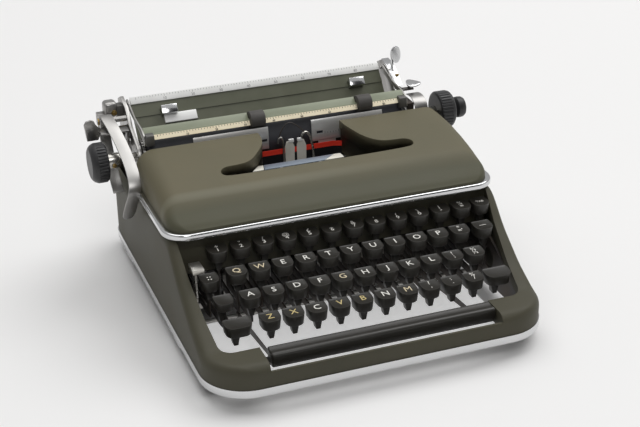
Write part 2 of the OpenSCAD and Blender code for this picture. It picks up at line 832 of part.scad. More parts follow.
// Curved ribbon of steel, folded down beside the body
module return_lever() {
    path = [[lever_y, lever_z + 4], [100, 142.5], [90, 139.5], [79, 131], [69, 120.5], [60, 108], [52, 95], [46, 84]];
    x0 = lever_x - lever_w / 2;
    x1 = lever_x + lever_w / 2;
    color("#c8cacb") difference() {
        union() {
            along_x(x0, x1) band(path, 2.4);
            rod_x(x0, x1, lever_y, lever_z, 5.5);
            rod_x(x0, x1, 46, 84, 2.4);
        }
        rod_x(x0 - 1, x1 + 1, lever_y, lever_z, 2.5 + run);
    }
}

module release_lever(s, x0) {
    color("#c0c2c4") {
        along_x(x0, x0 + 2) difference() {
            union() {
                translate([release_y, release_z]) circle(r = 5);
                polygon([[91, release_z], [101, release_z], [97, 134], [90, 134]]);
            }
            translate([release_y, release_z]) circle(r = 2 + run);
        }
        translate([s > 0 ? x0 : x0 - 22, 88, 133]) cube([24, 11, 1.6]);
    }
}

module release_lever_left() { release_lever(-1, plate_l - plate_t - 4); }
module release_lever_right() { release_lever(1, plate_r + plate_t + 2); }

module paper_release_lever() {
    x0 = plate_r + plate_t + 0.4;
    color("#cfd1d2") {
        along_x(x0, x0 + 1.2) difference() {
            union() {
                translate([paper_y, paper_z]) circle(r = 5);
                polygon([[107, 136], [117, 136], [119, 160], [112, 160]]);
            }
            translate([paper_y, paper_z]) circle(r = 2 + run);
        }
        translate([x0 - 3, 112, 158]) rotate([70, 0, 0]) cube([9, 8, 1.6]);
    }
}

lower_housing();
base_trim();
side_strip();
feet();
side_frames();
cross_bars();
lever_rod();
key_comb();
segment();
type_bars();
type_bar_centre();
type_rest();
ribbon_cups();
ribbon_spool_left();
ribbon_spool_right();
ribbon();
type_guide();
card_holders();
carriage_rails();
mainspring_drum();
escapement_wheel();
bell();
ribbon_cover();
carriage_bed();
end_plates();
platen();
platen_shaft();
left_knob();
right_knob();
knob_button();
ratchet_wheel();
feed_roller();
paper_table();
paper_ruler();
margin_stop_left();
margin_stop_right();
paper_bail();
bail_rollers();
return_lever();
release_lever_left();
release_lever_right();
paper_release_lever();
space_bar();
shift_key_left();
shift_key_right();
shift_lock_key();
margin_key();
tab_key();
back_space_key();
ribbon_selector();
for (c = [0:9]) key_column(c);
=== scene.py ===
import json
from math import copysign, cos, pi, radians, sin, sqrt, tan
import bpy
from mathutils import Matrix, Vector


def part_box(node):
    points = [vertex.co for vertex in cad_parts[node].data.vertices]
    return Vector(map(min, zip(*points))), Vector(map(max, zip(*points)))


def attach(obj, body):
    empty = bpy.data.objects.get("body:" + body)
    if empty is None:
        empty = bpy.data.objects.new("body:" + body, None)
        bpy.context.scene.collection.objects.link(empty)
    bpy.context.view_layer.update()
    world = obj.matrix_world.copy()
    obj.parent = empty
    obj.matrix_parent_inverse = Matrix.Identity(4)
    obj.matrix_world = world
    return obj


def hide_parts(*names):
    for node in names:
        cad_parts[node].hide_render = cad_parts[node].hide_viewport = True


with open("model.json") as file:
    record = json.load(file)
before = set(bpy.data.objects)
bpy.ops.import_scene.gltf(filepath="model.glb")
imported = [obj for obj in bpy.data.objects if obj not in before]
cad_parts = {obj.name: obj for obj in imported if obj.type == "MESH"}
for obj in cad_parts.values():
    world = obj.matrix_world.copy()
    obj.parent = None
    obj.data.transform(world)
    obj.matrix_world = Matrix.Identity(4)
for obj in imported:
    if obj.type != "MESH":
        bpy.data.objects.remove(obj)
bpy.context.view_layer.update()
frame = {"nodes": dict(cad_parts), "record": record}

# Lengths below are millimetres, turned into metres by this factor
MM = 0.001
BODY_OF = {n: b for b, ns in frame["record"]["behaviour"]["bodies"].items() for n in ns}


def corners(node):
    """Lowest and highest corner of a CAD node in millimetres"""
    lo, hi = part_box(node)
    return lo / MM, hi / MM


# Modelling tools


def mode(name):
    """Switches between object mode and edit mode"""
    bpy.ops.object.mode_set(mode=name)


def link(obj):
    bpy.context.collection.objects.link(obj)
    return obj


def deselect():
    if bpy.context.mode != "OBJECT":
        mode("OBJECT")
    bpy.ops.object.select_all(action="DESELECT")


def pick(*objects):
    deselect()
    for obj in objects:
        obj.select_set(True)
    bpy.context.view_layer.objects.active = objects[0]


def named(name):
    """Names the object that was just made, and its mesh"""
    obj = bpy.context.object
    obj.name = name
    obj.data.name = name
    return obj


def settle(obj):
    """Applies a piece's place, turn and size to its mesh"""
    pick(obj)
    bpy.ops.object.transform_apply(location=True, rotation=True, scale=True)
    return obj


def block(name, lo, hi):
    deselect()
    lo, hi = Vector(lo) * MM, Vector(hi) * MM
    bpy.ops.mesh.primitive_cube_add(size=1, location=(lo + hi) / 2)
    obj = named(name)
    obj.scale = hi - lo
    return settle(obj)


def rod(name, start, end, radius, sides=48):
    """Round bar between two points"""
    deselect()
    a, b = Vector(start) * MM, Vector(end) * MM
    turn = (b - a).to_track_quat("Z", "Y").to_euler()
    bpy.ops.mesh.primitive_cylinder_add(
        vertices=sides, radius=radius * MM, depth=(b - a).length, location=(a + b) / 2, rotation=turn)
    return settle(named(name))


def shift(obj, offset):
    """Moves a piece within its mesh"""
    obj.data.transform(Matrix.Translation(Vector(offset) * MM))
    return obj


def tip(obj, degrees, place):
    """Tips a piece about X and sets it at a place"""
    turn = Matrix.Rotation(radians(degrees), 4, "X")
    obj.data.transform(Matrix.Translation(Vector(place) * MM) @ turn)
    return obj


def edit(obj, *steps):
    """Runs mesh operators, each with its settings, on the whole of a piece"""
    pick(obj)
    mode("EDIT")
    for operator, settings in steps:
        bpy.ops.mesh.select_all(action="SELECT")
        operator(**settings)
    mode("OBJECT")
    return obj


# Step for edit() that turns all faces outwards
FACE_OUT = (bpy.ops.mesh.normals_make_consistent, {"inside": False})
PLANES = {"X": lambda a, b, t: (t, a, b), "Y": lambda a, b, t: (a, t, b), "Z": lambda a, b, t: (a, b, t)}


def slab(name, axis, outline, start, end):
    """Solid of a flat outline, extruded along an axis between two places"""
    deselect()
    bpy.ops.mesh.primitive_circle_add(vertices=len(outline), radius=1, fill_type="NGON")
    obj = named(name)
    for v, (a, b) in zip(obj.data.vertices, outline):
        v.co = Vector(PLANES[axis](a, b, start)) * MM
    step = Vector(PLANES[axis](0, 0, end - start)) * MM
    extrude = (bpy.ops.mesh.extrude_region_move, {"TRANSFORM_OT_translate": {"value": step}})
    return edit(obj, extrude, FACE_OUT)


def skin(name, rows):
    """Surface through rows of points; rows or points that coincide are merged, so poles and seams close"""
    n, m = len(rows[0]), len(rows)
    deselect()
    bpy.ops.mesh.primitive_grid_add(x_subdivisions=n - 1, y_subdivisions=m - 1, size=1)
    obj = named(name)
    for v in obj.data.vertices:
        i = round((v.co.x + 0.5) * (n - 1))
        j = round((v.co.y + 0.5) * (m - 1))
        v.co = Vector(rows[j][i]) * MM
    return edit(obj, (bpy.ops.mesh.remove_doubles, {"threshold": 0.02 * MM}), FACE_OUT)


def fill_holes(obj):
    return edit(obj, (bpy.ops.mesh.fill_holes, {"sides": 0}), FACE_OUT)


def apply_modifier(obj, kind, **settings):
    pick(obj)
    mod = obj.modifiers.new("work", kind)
    for key, value in settings.items():
        setattr(mod, key, value)
    bpy.ops.object.modifier_apply(modifier=mod.name)
    return obj


# Angle in degrees above which an edge counts as sharp
SHARP = 30


def soften(obj, width, segments=2, angle=SHARP):
    return apply_modifier(obj, "BEVEL", width=width * MM, segments=segments, limit_method="ANGLE",
                          angle_limit=radians(angle))


def round_edges(obj, width, segments, keep):
    """Bevels the sharp edges whose middle and direction pass the test"""
    pick(obj)
    mode("EDIT")
    bpy.ops.mesh.select_mode(type="EDGE")
    bpy.ops.mesh.select_all(action="DESELECT")
    bpy.ops.mesh.edges_select_sharp(sharpness=radians(SHARP))
    mode("OBJECT")
    verts = obj.data.vertices
    for edge in obj.data.edges:
        if edge.select:
            a, b = (verts[i].co / MM for i in edge.vertices)
            edge.select = bool(keep((a + b) / 2, (b - a).normalized()))
    mode("EDIT")
    bpy.ops.mesh.bevel(offset=width * MM, segments=segments, affect="EDGES", clamp_overlap=True)
    mode("OBJECT")
    return obj


def cut(obj, tool):
    """Takes one solid away from another"""
    apply_modifier(obj, "BOOLEAN", object=tool, operation="DIFFERENCE", solver="EXACT")
    bpy.data.objects.remove(tool)
    return obj


def join(name, *objects):
    pick(*objects)
    if len(objects) > 1:
        bpy.ops.object.join()
    return named(name)


def copy_of(obj, name, offset):
    new = obj.copy()
    new.data = obj.data.copy()
    new.name = name
    return shift(link(new), offset)


def smooth_points(points, closed=True):
    """Cuts the corners of an outline or a path twice, so that it runs smoothly"""
    for _ in range(2):
        ends = points[1:] + points[:1] if closed else points[1:]
        new = [] if closed else [points[0]]
        for a, b in zip(points, ends):
            a, b = Vector(a), Vector(b)
            new += [tuple(a * 0.75 + b * 0.25), tuple(a * 0.25 + b * 0.75)]
        points = new if closed else new + [points[-1]]
    return points


def arc(cx, cy, radius, start, end, steps):
    """Points on an arc, angles in degrees"""
    turns = [radians(start + (end - start) * k / steps) for k in range(steps + 1)]
    return [(cx + radius * cos(a), cy + radius * sin(a)) for a in turns]


def rect(a0, b0, a1, b1):
    """Outline of a rectangle between two corners"""
    return [(a0, b0), (a1, b0), (a1, b1), (a0, b1)]


def chord(radius, across):
    """Height of a round at a distance from its middle"""
    return sqrt(max(radius * radius - across ** 2, 0))


def incline(y, z, degrees):
    """Slope that starts at (y, z): gives the (y, z) of a way up it and a lift off it"""
    a = radians(degrees)

    def on(way, lift=0.0):
        return y + way * cos(a) - lift * sin(a), z + way * sin(a) + lift * cos(a)

    return on


# Shader tools


class Value:
    """A socket's value that takes part in Python arithmetic"""

    def __init__(self, tree, socket):
        self.tree = tree
        self.socket = socket

    def join(self, operation, a, b):
        node = self.tree.nodes.new("ShaderNodeMath")
        node.operation = operation
        for slot, value in zip(node.inputs, (a, b)):
            feed(self.tree, slot, value)
        return Value(self.tree, node.outputs[0])

    def __add__(self, other):
        return self.join("ADD", self, other)

    def __radd__(self, other):
        return self.join("ADD", other, self)

    def __sub__(self, other):
        return self.join("SUBTRACT", self, other)

    def __rsub__(self, other):
        return self.join("SUBTRACT", other, self)

    def __mul__(self, other):
        return self.join("MULTIPLY", self, other)

    def __rmul__(self, other):
        return self.join("MULTIPLY", other, self)

    def above(self, other):
        return self.join("GREATER_THAN", self, other)


def feed(tree, slot, value):
    if isinstance(value, Value):
        tree.links.new(value.socket, slot)
    elif slot.type == "RGBA":
        slot.default_value = (*value, 1) if len(value) == 3 else value
    else:
        slot.default_value = value


class Finish:
    """One procedural material"""

    def __init__(self, name, color, roughness, metallic=0.0, coat=0.0, specular=0.5):
        self.material = bpy.data.materials.new(name)
        self.material.use_nodes = True
        self.tree = self.material.node_tree
        self.shader = self.tree.nodes["Principled BSDF"]
        for slot, value in (("Base Color", color), ("Roughness", roughness), ("Metallic", metallic),
                            ("Coat Weight", coat), ("Specular IOR Level", specular)):
            self.set(slot, value)
        self.place = self.node("ShaderNodeTexCoord", out="Object")

    def set(self, slot, value):
        feed(self.tree, self.shader.inputs[slot], value)

    def node(self, kind, settings=None, inputs=None, out=0):
        """Adds a node, with its settings first and then the values or links of its sockets"""
        node = self.tree.nodes.new(kind)
        for key, value in (settings or {}).items():
            setattr(node, key, value)
        for key, value in (inputs or {}).items():
            feed(self.tree, node.inputs[key], value)
        return Value(self.tree, node.outputs[out])

    def noise(self, scale, detail, roughness=0.5):
        return self.node("ShaderNodeTexNoise", inputs={
            "Vector": self.place, "Scale": scale, "Detail": detail, "Roughness": roughness})

    def mix(self, a, b, factor):
        return self.node("ShaderNodeMix", {"data_type": "RGBA"}, {0: factor, 6: a, 7: b}, 2)

    def fade(self, value, start, end):
        """Rises from 0 where the value is at start to 1 at end"""
        return self.node("ShaderNodeMapRange", inputs={"Value": value, "From Min": start, "From Max": end})

    def bump(self, height, strength, distance):
        self.set("Normal", self.node("ShaderNodeBump", inputs={
            "Height": height, "Strength": strength, "Distance": distance}))

    def axis(self, index):
        return self.node("ShaderNodeSeparateXYZ", inputs={"Vector": self.place}, out=index)


# The cover's front slope, which is painted darker as shade, the crease above it with its painted highlight,
# and where that highlight fades out, in metres
SLOPE_TOP_Y = -0.021
SLOPE_FOOT_Y = -0.036
CREASE_Y = -0.0225
CREASE_SPREAD = 0.00003
HIGHLIGHT_GONE_X = 0.09
HIGHLIGHT_FULL_X = -0.04
CREASE_HIGHLIGHT = (0.20, 0.195, 0.145)


def crinkle_paint(name, color, worn, front=None):
    """Baked enamel with fine wrinkles and browner patches, painted shade on a front slope, painted highlight
    at its crease
    """
    paint = Finish(name, color, 0.5, specular=0.28)
    patches = paint.noise(14, 3)
    grain = paint.noise(1100, 2, 0.6)
    shade = paint.mix(color, worn, patches * 1.4 - 0.3)
    if front:
        # Painted shade: the front slope is mixed towards a darker colour for the shade that falls on it
        shade = paint.mix(shade, front, paint.fade(paint.axis(1), SLOPE_TOP_Y, SLOPE_FOOT_Y) * 0.85)
        # Painted highlight: a pale band along the crease, fading out towards the right, stands for light
        # caught by the curve
        off = paint.axis(1) - CREASE_Y
        crease = paint.fade(off * off, CREASE_SPREAD, 0)
        left = paint.fade(paint.axis(0), HIGHLIGHT_GONE_X, HIGHLIGHT_FULL_X)
        shade = paint.mix(shade, CREASE_HIGHLIGHT, crease * left * 0.45)
    paint.set("Base Color", shade)
    paint.set("Roughness", 0.46 + patches * 0.2)
    paint.bump(grain, 0.35, 0.00025)
    return paint.material


def chrome_plate(name, color, low, high):
    """Plated metal with faint rubbed areas"""
    plate = Finish(name, color, low, 1.0)
    plate.set("Roughness", low + plate.noise(30, 3) * (high - low))
    plate.bump(plate.noise(160, 2), 0.05, 0.0002)
    return plate.material


def plastic(name, color, low, high, coat=0.0):
    moulded = Finish(name, color, low, coat=coat)
    moulded.set("Roughness", low + moulded.noise(60, 3) * (high - low))
    moulded.bump(moulded.noise(300, 2), 0.06, 0.0002)
    return moulded.material


def rubber(name, color):
    worn = Finish(name, color, 0.6, specular=0.35)
    patches = worn.noise(45, 4)
    worn.set("Base Color", worn.mix(color, tuple(min(1, c * 1.8) for c in color), patches * 0.9 - 0.2))
    worn.set("Roughness", 0.45 + patches * 0.25)
    worn.bump(worn.noise(700, 2), 0.15, 0.0002)
    return worn.material


def metal(name, color, dull, roughness=0.35, metallic=1.0):
    """Plated or oiled steel with tarnish in patches"""
    steel = Finish(name, color, roughness, metallic)
    patches = steel.noise(55, 4)
    steel.set("Base Color", steel.mix(color, dull, patches * 1.5 - 0.35))
    steel.set("Roughness", roughness - 0.08 + patches * 0.22)
    steel.bump(steel.noise(500, 2), 0.08, 0.0002)
    return steel.material


def inked_ribbon(name, split):
    """Woven tape, red above the split height and black below it"""
    tape = Finish(name, (0.5, 0.02, 0.012), 0.75, specular=0.2)
    red = tape.axis(2).above(split)
    weave = tape.noise(2200, 1)
    tape.set("Base Color", tape.mix((0.012, 0.012, 0.013), (0.95, 0.055, 0.03), red * (0.85 + weave * 0.15)))
    tape.bump(weave, 0.2, 0.0001)
    return tape.material


# Cover enamel; its front colour is painted shade for the sloping front face
OLIVE = crinkle_paint("olive_crinkle_enamel", (0.116, 0.108, 0.067), (0.156, 0.134, 0.082),
                      front=(0.078, 0.078, 0.050))
# Housing enamel: the cover's olive, darkened as painted shade for the body's sides and front that lie in
# shadow
OLIVE_BODY_SHADED = crinkle_paint("olive_crinkle_body_shaded", (0.059, 0.057, 0.038), (0.080, 0.072, 0.048))
CHROME = chrome_plate("bright_chrome", (0.64, 0.645, 0.65), 0.10, 0.24)
SATIN = chrome_plate("satin_chrome", (0.36, 0.352, 0.34), 0.28, 0.44)
RULER = metal("ruler_plate", (0.93, 0.93, 0.91), (0.84, 0.84, 0.81), 0.4, 0.0)
KEY_BLACK = plastic("key_black", (0.023, 0.021, 0.017), 0.34, 0.5, 0.1)
BAR_BLACK = plastic("space_bar_black", (0.026, 0.024, 0.020), 0.34, 0.5, 0.12)
KNOB_BLACK = plastic("knob_black", (0.02, 0.02, 0.021), 0.35, 0.5)
PLATEN = rubber("platen_rubber", (0.040, 0.041, 0.047))
RUBBER = rubber("roller_rubber", (0.030, 0.029, 0.030))
ROLLER = rubber("bail_rubber", (0.060, 0.056, 0.052))
FOOT = rubber("foot_rubber", (0.012, 0.012, 0.012))
STEEL = metal("plated_steel", (0.46, 0.46, 0.45), (0.26, 0.24, 0.21))
BRIGHT = metal("bright_steel", (0.66, 0.65, 0.62), (0.42, 0.40, 0.35), 0.25)
DARK = metal("dark_steel", (0.055, 0.055, 0.058), (0.10, 0.075, 0.055), 0.45, 0.6)
TABLE = metal("table_enamel", (0.090, 0.096, 0.060), (0.118, 0.122, 0.080), 0.38, 0.0)
BAIL = metal("bail_enamel", (0.225, 0.25, 0.17), (0.28, 0.305, 0.215), 0.4, 0.0)
CAST = metal("cast_grey", (0.10, 0.10, 0.095), (0.14, 0.13, 0.12), 0.4, 0.3)
CARD = metal("card_plate_steel", (0.74, 0.74, 0.73), (0.58, 0.56, 0.53), 0.38, 0.6)
PRONG = metal("prong_steel", (0.88, 0.86, 0.78), (0.58, 0.55, 0.47), 0.4, 0.0)
CREAM = metal("scale_cream", (0.90, 0.82, 0.62), (0.78, 0.66, 0.44), 0.5, 0.0)
REST = metal("blue_grey_plate", (0.36, 0.42, 0.50), (0.26, 0.31, 0.38), 0.35, 0.5)
BRASS = metal("aged_brass", (0.45, 0.32, 0.12), (0.28, 0.19, 0.08), 0.35)
TAPE = inked_ribbon("ribbon_cloth", 0.1064)
WHITE = metal("legend_white", (0.90, 0.89, 0.84), (0.78, 0.76, 0.70), 0.5, 0.0)
YELLOW = metal("legend_yellow", (0.66, 0.55, 0.26), (0.54, 0.42, 0.18), 0.5, 0.0)
IVORY = metal("legend_ivory", (0.76, 0.66, 0.46), (0.62, 0.52, 0.34), 0.5, 0.0)
INK = metal("scale_ink", (0.03, 0.028, 0.025), (0.05, 0.045, 0.04), 0.6, 0.0)
GREY_INK = metal("ruler_ink", (0.22, 0.22, 0.22), (0.34, 0.34, 0.34), 0.6, 0.0)
PORCELAIN = metal("white_plate", (0.95, 0.95, 0.93), (0.88, 0.88, 0.86), 0.3, 0.0)


def dress(obj, material, body, smooth=32):
    """Gives a finished piece its shading, finish and body"""
    pick(obj)
    bpy.ops.object.shade_smooth_by_angle(angle=radians(smooth))
    obj.data.materials.clear()
    obj.data.materials.append(material)
    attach(obj, body)
    return obj


def stand_for(node, obj, material, smooth=32):
    """Dresses a piece that takes the place of a CAD node, on its body, and hides the node"""
    dress(obj, material, BODY_OF[node], smooth)
    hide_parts(node)
    return obj


def refined(node, material, width, segments=2):
    """Copy of a CAD node with softened edges, which stands for the node"""
    obj = link(bpy.data.objects.new(node + "_finished", frame["nodes"][node].data.copy()))
    edit(obj, (bpy.ops.mesh.customdata_custom_splitnormals_clear, {}),
         (bpy.ops.mesh.remove_doubles, {"threshold": 0.002 * MM}),
         (bpy.ops.mesh.dissolve_limited, {"angle_limit": radians(0.5)}))
    if width:
        soften(obj, width, segments)
    return stand_for(node, obj, material)


def lettering(name, words, size, place, tilt, thick=0.3):
    """Raised words lying face up at a place, tipped about X by tilt degrees"""
    deselect()
    bpy.ops.object.text_add(location=(0, 0, 0))
    text = named(name).data
    text.body = words
    text.size = size * MM
    text.extrude = thick * MM / 2
    text.align_x = "CENTER"
    text.align_y = "CENTER"
    text.resolution_u = 2
    text.space_line = 0.75
    bpy.ops.object.convert(target="MESH")
    return tip(named(name), tilt, place)


# Housing and cover shells

# Body: half width, ends, plan radii, foot, sheet and the heights of its side outline
HALF = 140.0
FRONT = -159.0
BACK = 159.0
FRONT_R = 35.0
REAR_R = 24.0
BASE_Z = 20.0
SHEET = 2.2
SIDE_Z = 94.5
LOBE_Z = 38.5
APRON_Z = 32.5
DECK_Z = 80.0
BODY_LINE = [(-159, LOBE_Z), (-126, LOBE_Z), (-98.8, 51), (-68.7, 71.5), (-50, 90), (-43, SIDE_Z),
             (55, SIDE_Z), (62, DECK_Z), (160, DECK_Z)]
# Roundings along the sides, over the nose and over the tail
CROWN = 8.0
NOSE = 8.0
TAIL = 12.0
# Mouth round the keyboard: half widths, ends and corner radius
MOUTH_REAR = 133.0
MOUTH_FRONT = 125.5
MOUTH_REAR_Y = -44.0
MOUTH_FRONT_Y = -132.0
MOUTH_R = 11.0
# Recess of the space bar
RECESS_LEFT = -95.5
RECESS_RIGHT = 94.5
RECESS_FRONT = -156.8
RECESS_BACK = -125.0
# Clear half width behind the keyboard and the rear of the panel there
CLEAR_HALF = 134.5
PANEL_REAR = -41.8
# Heights below and above the housing, between which its tools stand
UNDER = 10
OVER = 120


def line_at(points, y):
    """Height of an outline of (y, z) points at a depth"""
    for (a, b), (c, d) in zip(points, points[1:]):
        if y <= c:
            return b + (d - b) * (y - a) / (c - a)
    return points[-1][1]


def rounded_line(line, y, first, last, reach, steps):
    """Height of a side outline, averaged over a reach to both sides so that its corners are round"""
    near = [min(max(y + reach * k / steps, first), last) for k in range(-steps, steps + 1)]
    return sum(line_at(line, place) for place in near) / len(near)


def shell_rows(stations, width_at, foot, crown, steps=8, flat=16):
    """Cross sections from the left foot over the crown to the right foot"""
    rows = []
    for y, top in stations:
        w = width_at(y)
        r = min(crown, max(top - foot, 0) * 0.8, w * 0.6)
        side = [(-w, foot + (top - r - foot) * k / 4) for k in range(4)]
        over = arc(-w + r, top - r, r, 180, 90, steps)
        middle = [(-w + r + (2 * w - 2 * r) * k / flat, top) for k in range(1, flat)]
        half = side + over
        full = half + middle + [(-x, z) for x, z in reversed(half)]
        rows.append([(x, y, z) for x, z in full])
    return rows


def body_solid(name, inset=0.0, drop=0.0):
    """The housing's outer form, or the same form drawn in by an inset and lowered"""
    w, front, back = HALF - inset, FRONT + inset, BACK - inset
    fr, rr = FRONT_R - inset, REAR_R - inset

    def width_at(y):
        if y < front + fr:
            return w - fr + chord(fr, front + fr - y)
        if y > back - rr:
            return w - rr + chord(rr, y - back + rr)
        return w

    # Stations from front to rear, closer together where the outline bends
    ys = [front + fr * (1 - cos(radians(6 * k))) for k in range(16)]
    ys += [front + fr + 3 * k for k in range(1, 28)]
    ys += [-36 + 9 * k for k in range(10)]
    ys += [48 + 3 * k for k in range(8)]
    ys += [80 + 8 * k for k in range(7)]
    ys += [back - rr * (1 - cos(radians(90 - 7.5 * k))) for k in range(1, 13)]
    stations = [(front, BASE_Z)]
    for y in sorted({round(y, 3) for y in ys}):
        top = rounded_line(BODY_LINE, y, FRONT, BACK, 5, 4) - drop
        if y < front + NOSE:
            top -= NOSE - chord(NOSE, front + NOSE - y)
        if y > back - TAIL:
            top -= TAIL - chord(TAIL, y - back + TAIL)
        stations.append((y, top))
    stations.append((back, BASE_Z))
    return fill_holes(skin(name, shell_rows(stations, width_at, BASE_Z, max(CROWN - inset, 2))))


def mouth_outline(grow=0.0):
    """Opening that frames the keyboard, wider at the rear than at the front"""
    rear, front = MOUTH_REAR + grow, MOUTH_FRONT + grow
    r = MOUTH_R + grow * 0.5
    left = arc(-front + r, MOUTH_FRONT_Y - grow + r, r, 270, 180, 8)
    return [(-rear, MOUTH_REAR_Y)] + left[::-1] + [(-x, y) for x, y in left] + [(rear, MOUTH_REAR_Y)]


def notch_outline(grow=0.0):
    """Gap for the space bar between the front lobes, open to the front"""
    return rect(RECESS_LEFT - grow, -170, RECESS_RIGHT + grow, RECESS_BACK)


def make_housing():
    """Pressed shell, open over the works and below, with the panel behind the keyboard"""
    body = body_solid("housing_shell")
    cut(body, slab("mouth_tool", "Z", mouth_outline(), UNDER, OVER))
    cut(body, slab("notch_tool", "Z", notch_outline(), APRON_Z, OVER))
    round_edges(body, 4.5, 5, lambda p, d: p.z > 27 and -158.5 < p.y < -50)
    hollow = body_solid("hollow_tool", SHEET, SHEET)
    rim = slab("rim_tool", "Z", mouth_outline(2.4), UNDER, OVER)
    cut(rim, body_solid("rim_floor", -5, 9))
    cut(hollow, rim)
    cut(hollow, slab("notch_rim", "Z", notch_outline(SHEET), APRON_Z - 7, OVER))
    cut(body, shift(hollow, (0, 0, -0.5)))
    cut(body, slab("rear_tool", "Z", rect(-CLEAR_HALF, PANEL_REAR, CLEAR_HALF, 145), UNDER, OVER))
    recess = rect(RECESS_LEFT, RECESS_FRONT, RECESS_RIGHT, RECESS_BACK)
    cut(body, slab("recess_tool", "Z", recess, UNDER, OVER))
    panel = block("keyboard_panel", (-CLEAR_HALF, MOUTH_REAR_Y, 62), (CLEAR_HALF, PANEL_REAR, SIDE_Z - 0.4))
    body = join("housing_shell", body, soften(panel, 0.5))
    stand_for("lower_housing", body, OLIVE_BODY_SHADED)


# Ribbon cover: foot, half width, ends, front corners, sheet, side rounding and side outline
COVER_FOOT = 100.0
COVER_W = 137.5
COVER_FRONT = -49.5
COVER_BACK = 57.0
COVER_R = 18.0
COVER_SHEET = 1.6
COVER_CROWN = 15.0
COVER_LINE = [(-49.5, 101), (-47.5, 104), (-42, 107.2), (-35, 111), (-29, 115.2), (-24, 118.2), (-17, 120.4),
              (-8, 122.4), (4, 124.6), (22, 127), (38, 128), (57, 128)]


def cover_solid(name, inset=0.0, drop=0.0):
    """The cover's outer form, or the same form drawn in by an inset and lowered"""
    front, w, r = COVER_FRONT + inset, COVER_W - inset, COVER_R - inset

    def width_at(y):
        return w - r + chord(r, front + r - y) if y < front + r else w

    ys = [front + r * (1 - cos(radians(7.5 * k))) for k in range(13)]
    ys += [-30 + 3 * k for k in range(8)]
    ys += [-3 + 6 * k for k in range(10)]
    stations = [(front, COVER_FOOT)]
    for y in sorted({round(y, 3) for y in ys if y < COVER_BACK}) + [COVER_BACK]:
        stations.append((y, rounded_line(COVER_LINE, y - inset, COVER_FRONT, COVER_BACK, 2, 2) - drop))
    stations.append((COVER_BACK, COVER_FOOT))
    return fill_holes(skin(name, shell_rows(stations, width_at, COVER_FOOT, COVER_CROWN - inset, 9, 30)))


def opening_outline(grow=0.0):
    """Throat over the type basket with a tapering slot to each side"""
    points = [(-31, 70), (-31, 47), (-35, 33), (-44, 20), (-54, 9), (-66, 7), (-76, 7), (-81.5, 2), (-81, -4),
              (-75, -6.4), (-40, -7), (0, -7), (45, -7), (80, -6.4), (86.4, -4), (87.4, 2), (82, 7), (72, 7),
              (60, 9), (50, 20), (46, 33), (43, 47), (43, 70)]
    smooth = smooth_points(points)
    grown = []
    for k, (x, y) in enumerate(smooth):
        way = (Vector(smooth[(k + 1) % len(smooth)]) - Vector(smooth[k - 1])).normalized()
        grown.append((x + way.y * grow, y - way.x * grow))
    return grown


def make_cover():
    """Lift-off cover, hollow, with a rolled opening and an open rear"""
    cover = cover_solid("ribbon_cover_shell")
    cut(cover, slab("opening_tool", "Z", opening_outline(), 90, 160))
    round_edges(cover, 4.0, 5, lambda p, d: p.z > 115 and abs(p.x) < 95 and -14 < p.y < 56)
    hollow = cover_solid("cover_hollow", COVER_SHEET, COVER_SHEET)
    rim = slab("opening_rim", "Z", opening_outline(2.0), 90, 160)
    cut(rim, cover_solid("rim_floor", -3, 12))
    cut(hollow, rim)
    cut(cover, shift(hollow, (0, 0, -0.5)))
    cut(cover, block("rear_cut", (-133.5, 54, 90), (133.5, 70, 121)))
    stand_for("ribbon_cover", cover, OLIVE)


make_housing()
make_cover()
refined("side_strip", CHROME, 1.6, 4)
refined("base_trim", CHROME, 0.9, 3)


# Keys

# Spacing of keys and rows, the front row's place, and where the third row starts
PITCH = 19.05
ROW_Y = 18.43
ROW_Z = 12.05
KEY_Y = -109.0
KEY_Z = 49.7
FIRST_X = -93.27
LAST_COLUMN = 9
ROW_X = [FIRST_X + share * PITCH for share in (0.75, 0.25, 0, -0.5)]
LEGENDS = [
    ["Z", "X", "C", "V", "B", "N", "M", "?\n,", ":\n.", "%\n/"],
    ["A", "S", "D", "F", "G", "H", "J", "K", "L", "!\n;", "¾\n½"],
    ["Q", "W", "E", "R", "T", "Y", "U", "I", "O", "P", "*\n='"],
    ["+\n1", "\"\n2", "/\n3", "@\n4", "£\n5", "_\n6", "&\n7", "'\n8", "(\n9", ")\n0", "|\n-", "%\n="],
]
YELLOW_KEYS = "ZXVB"
IVORY_KEYS = "QWGM"
TINTS = {"white": WHITE, "yellow": YELLOW, "ivory": IVORY}
# Key tops: tilt in degrees, height, depth, a letter key's width and the radius of the round front
CAP_TILT = 4.0
CAP_H = 9.6
CAP_DEPTH = 14.6
CAP_W = 16.2
CAP_ROUND = 8.2
# Dished face: width of its rim and depth
RIM = 1.3
DISH = 0.55
# Levers and the rod that they turn on
FULCRUM_Y = 100.0
FULCRUM_Z = 40.0
LEVER_TOP = 43.0
LEVER_H = 6.5
LEVER_T = 1.5


def cap_outline(width):
    """Straight rear edge, straight sides and a full round front"""
    half = width / 2
    rear = CAP_DEPTH - CAP_ROUND
    wide = width > 17
    points = [(half, rear - 1.4), (half - 0.4, rear - 0.4), (half - 1.4, rear)]
    points += [(-x, y) for x, y in reversed(points)]
    points.append((-half, 1.0))
    for k in range(1, 16):
        a = pi + pi * k / 16
        c, s = cos(a), sin(a)
        x = copysign(half - CAP_ROUND, c) if wide else 0
        span = CAP_ROUND if wide else half
        x += span * copysign(abs(c) ** 0.72, c)
        points.append((x, CAP_ROUND * copysign(abs(s) ** 0.86, s)))
    return points + [(half, 1.0)]


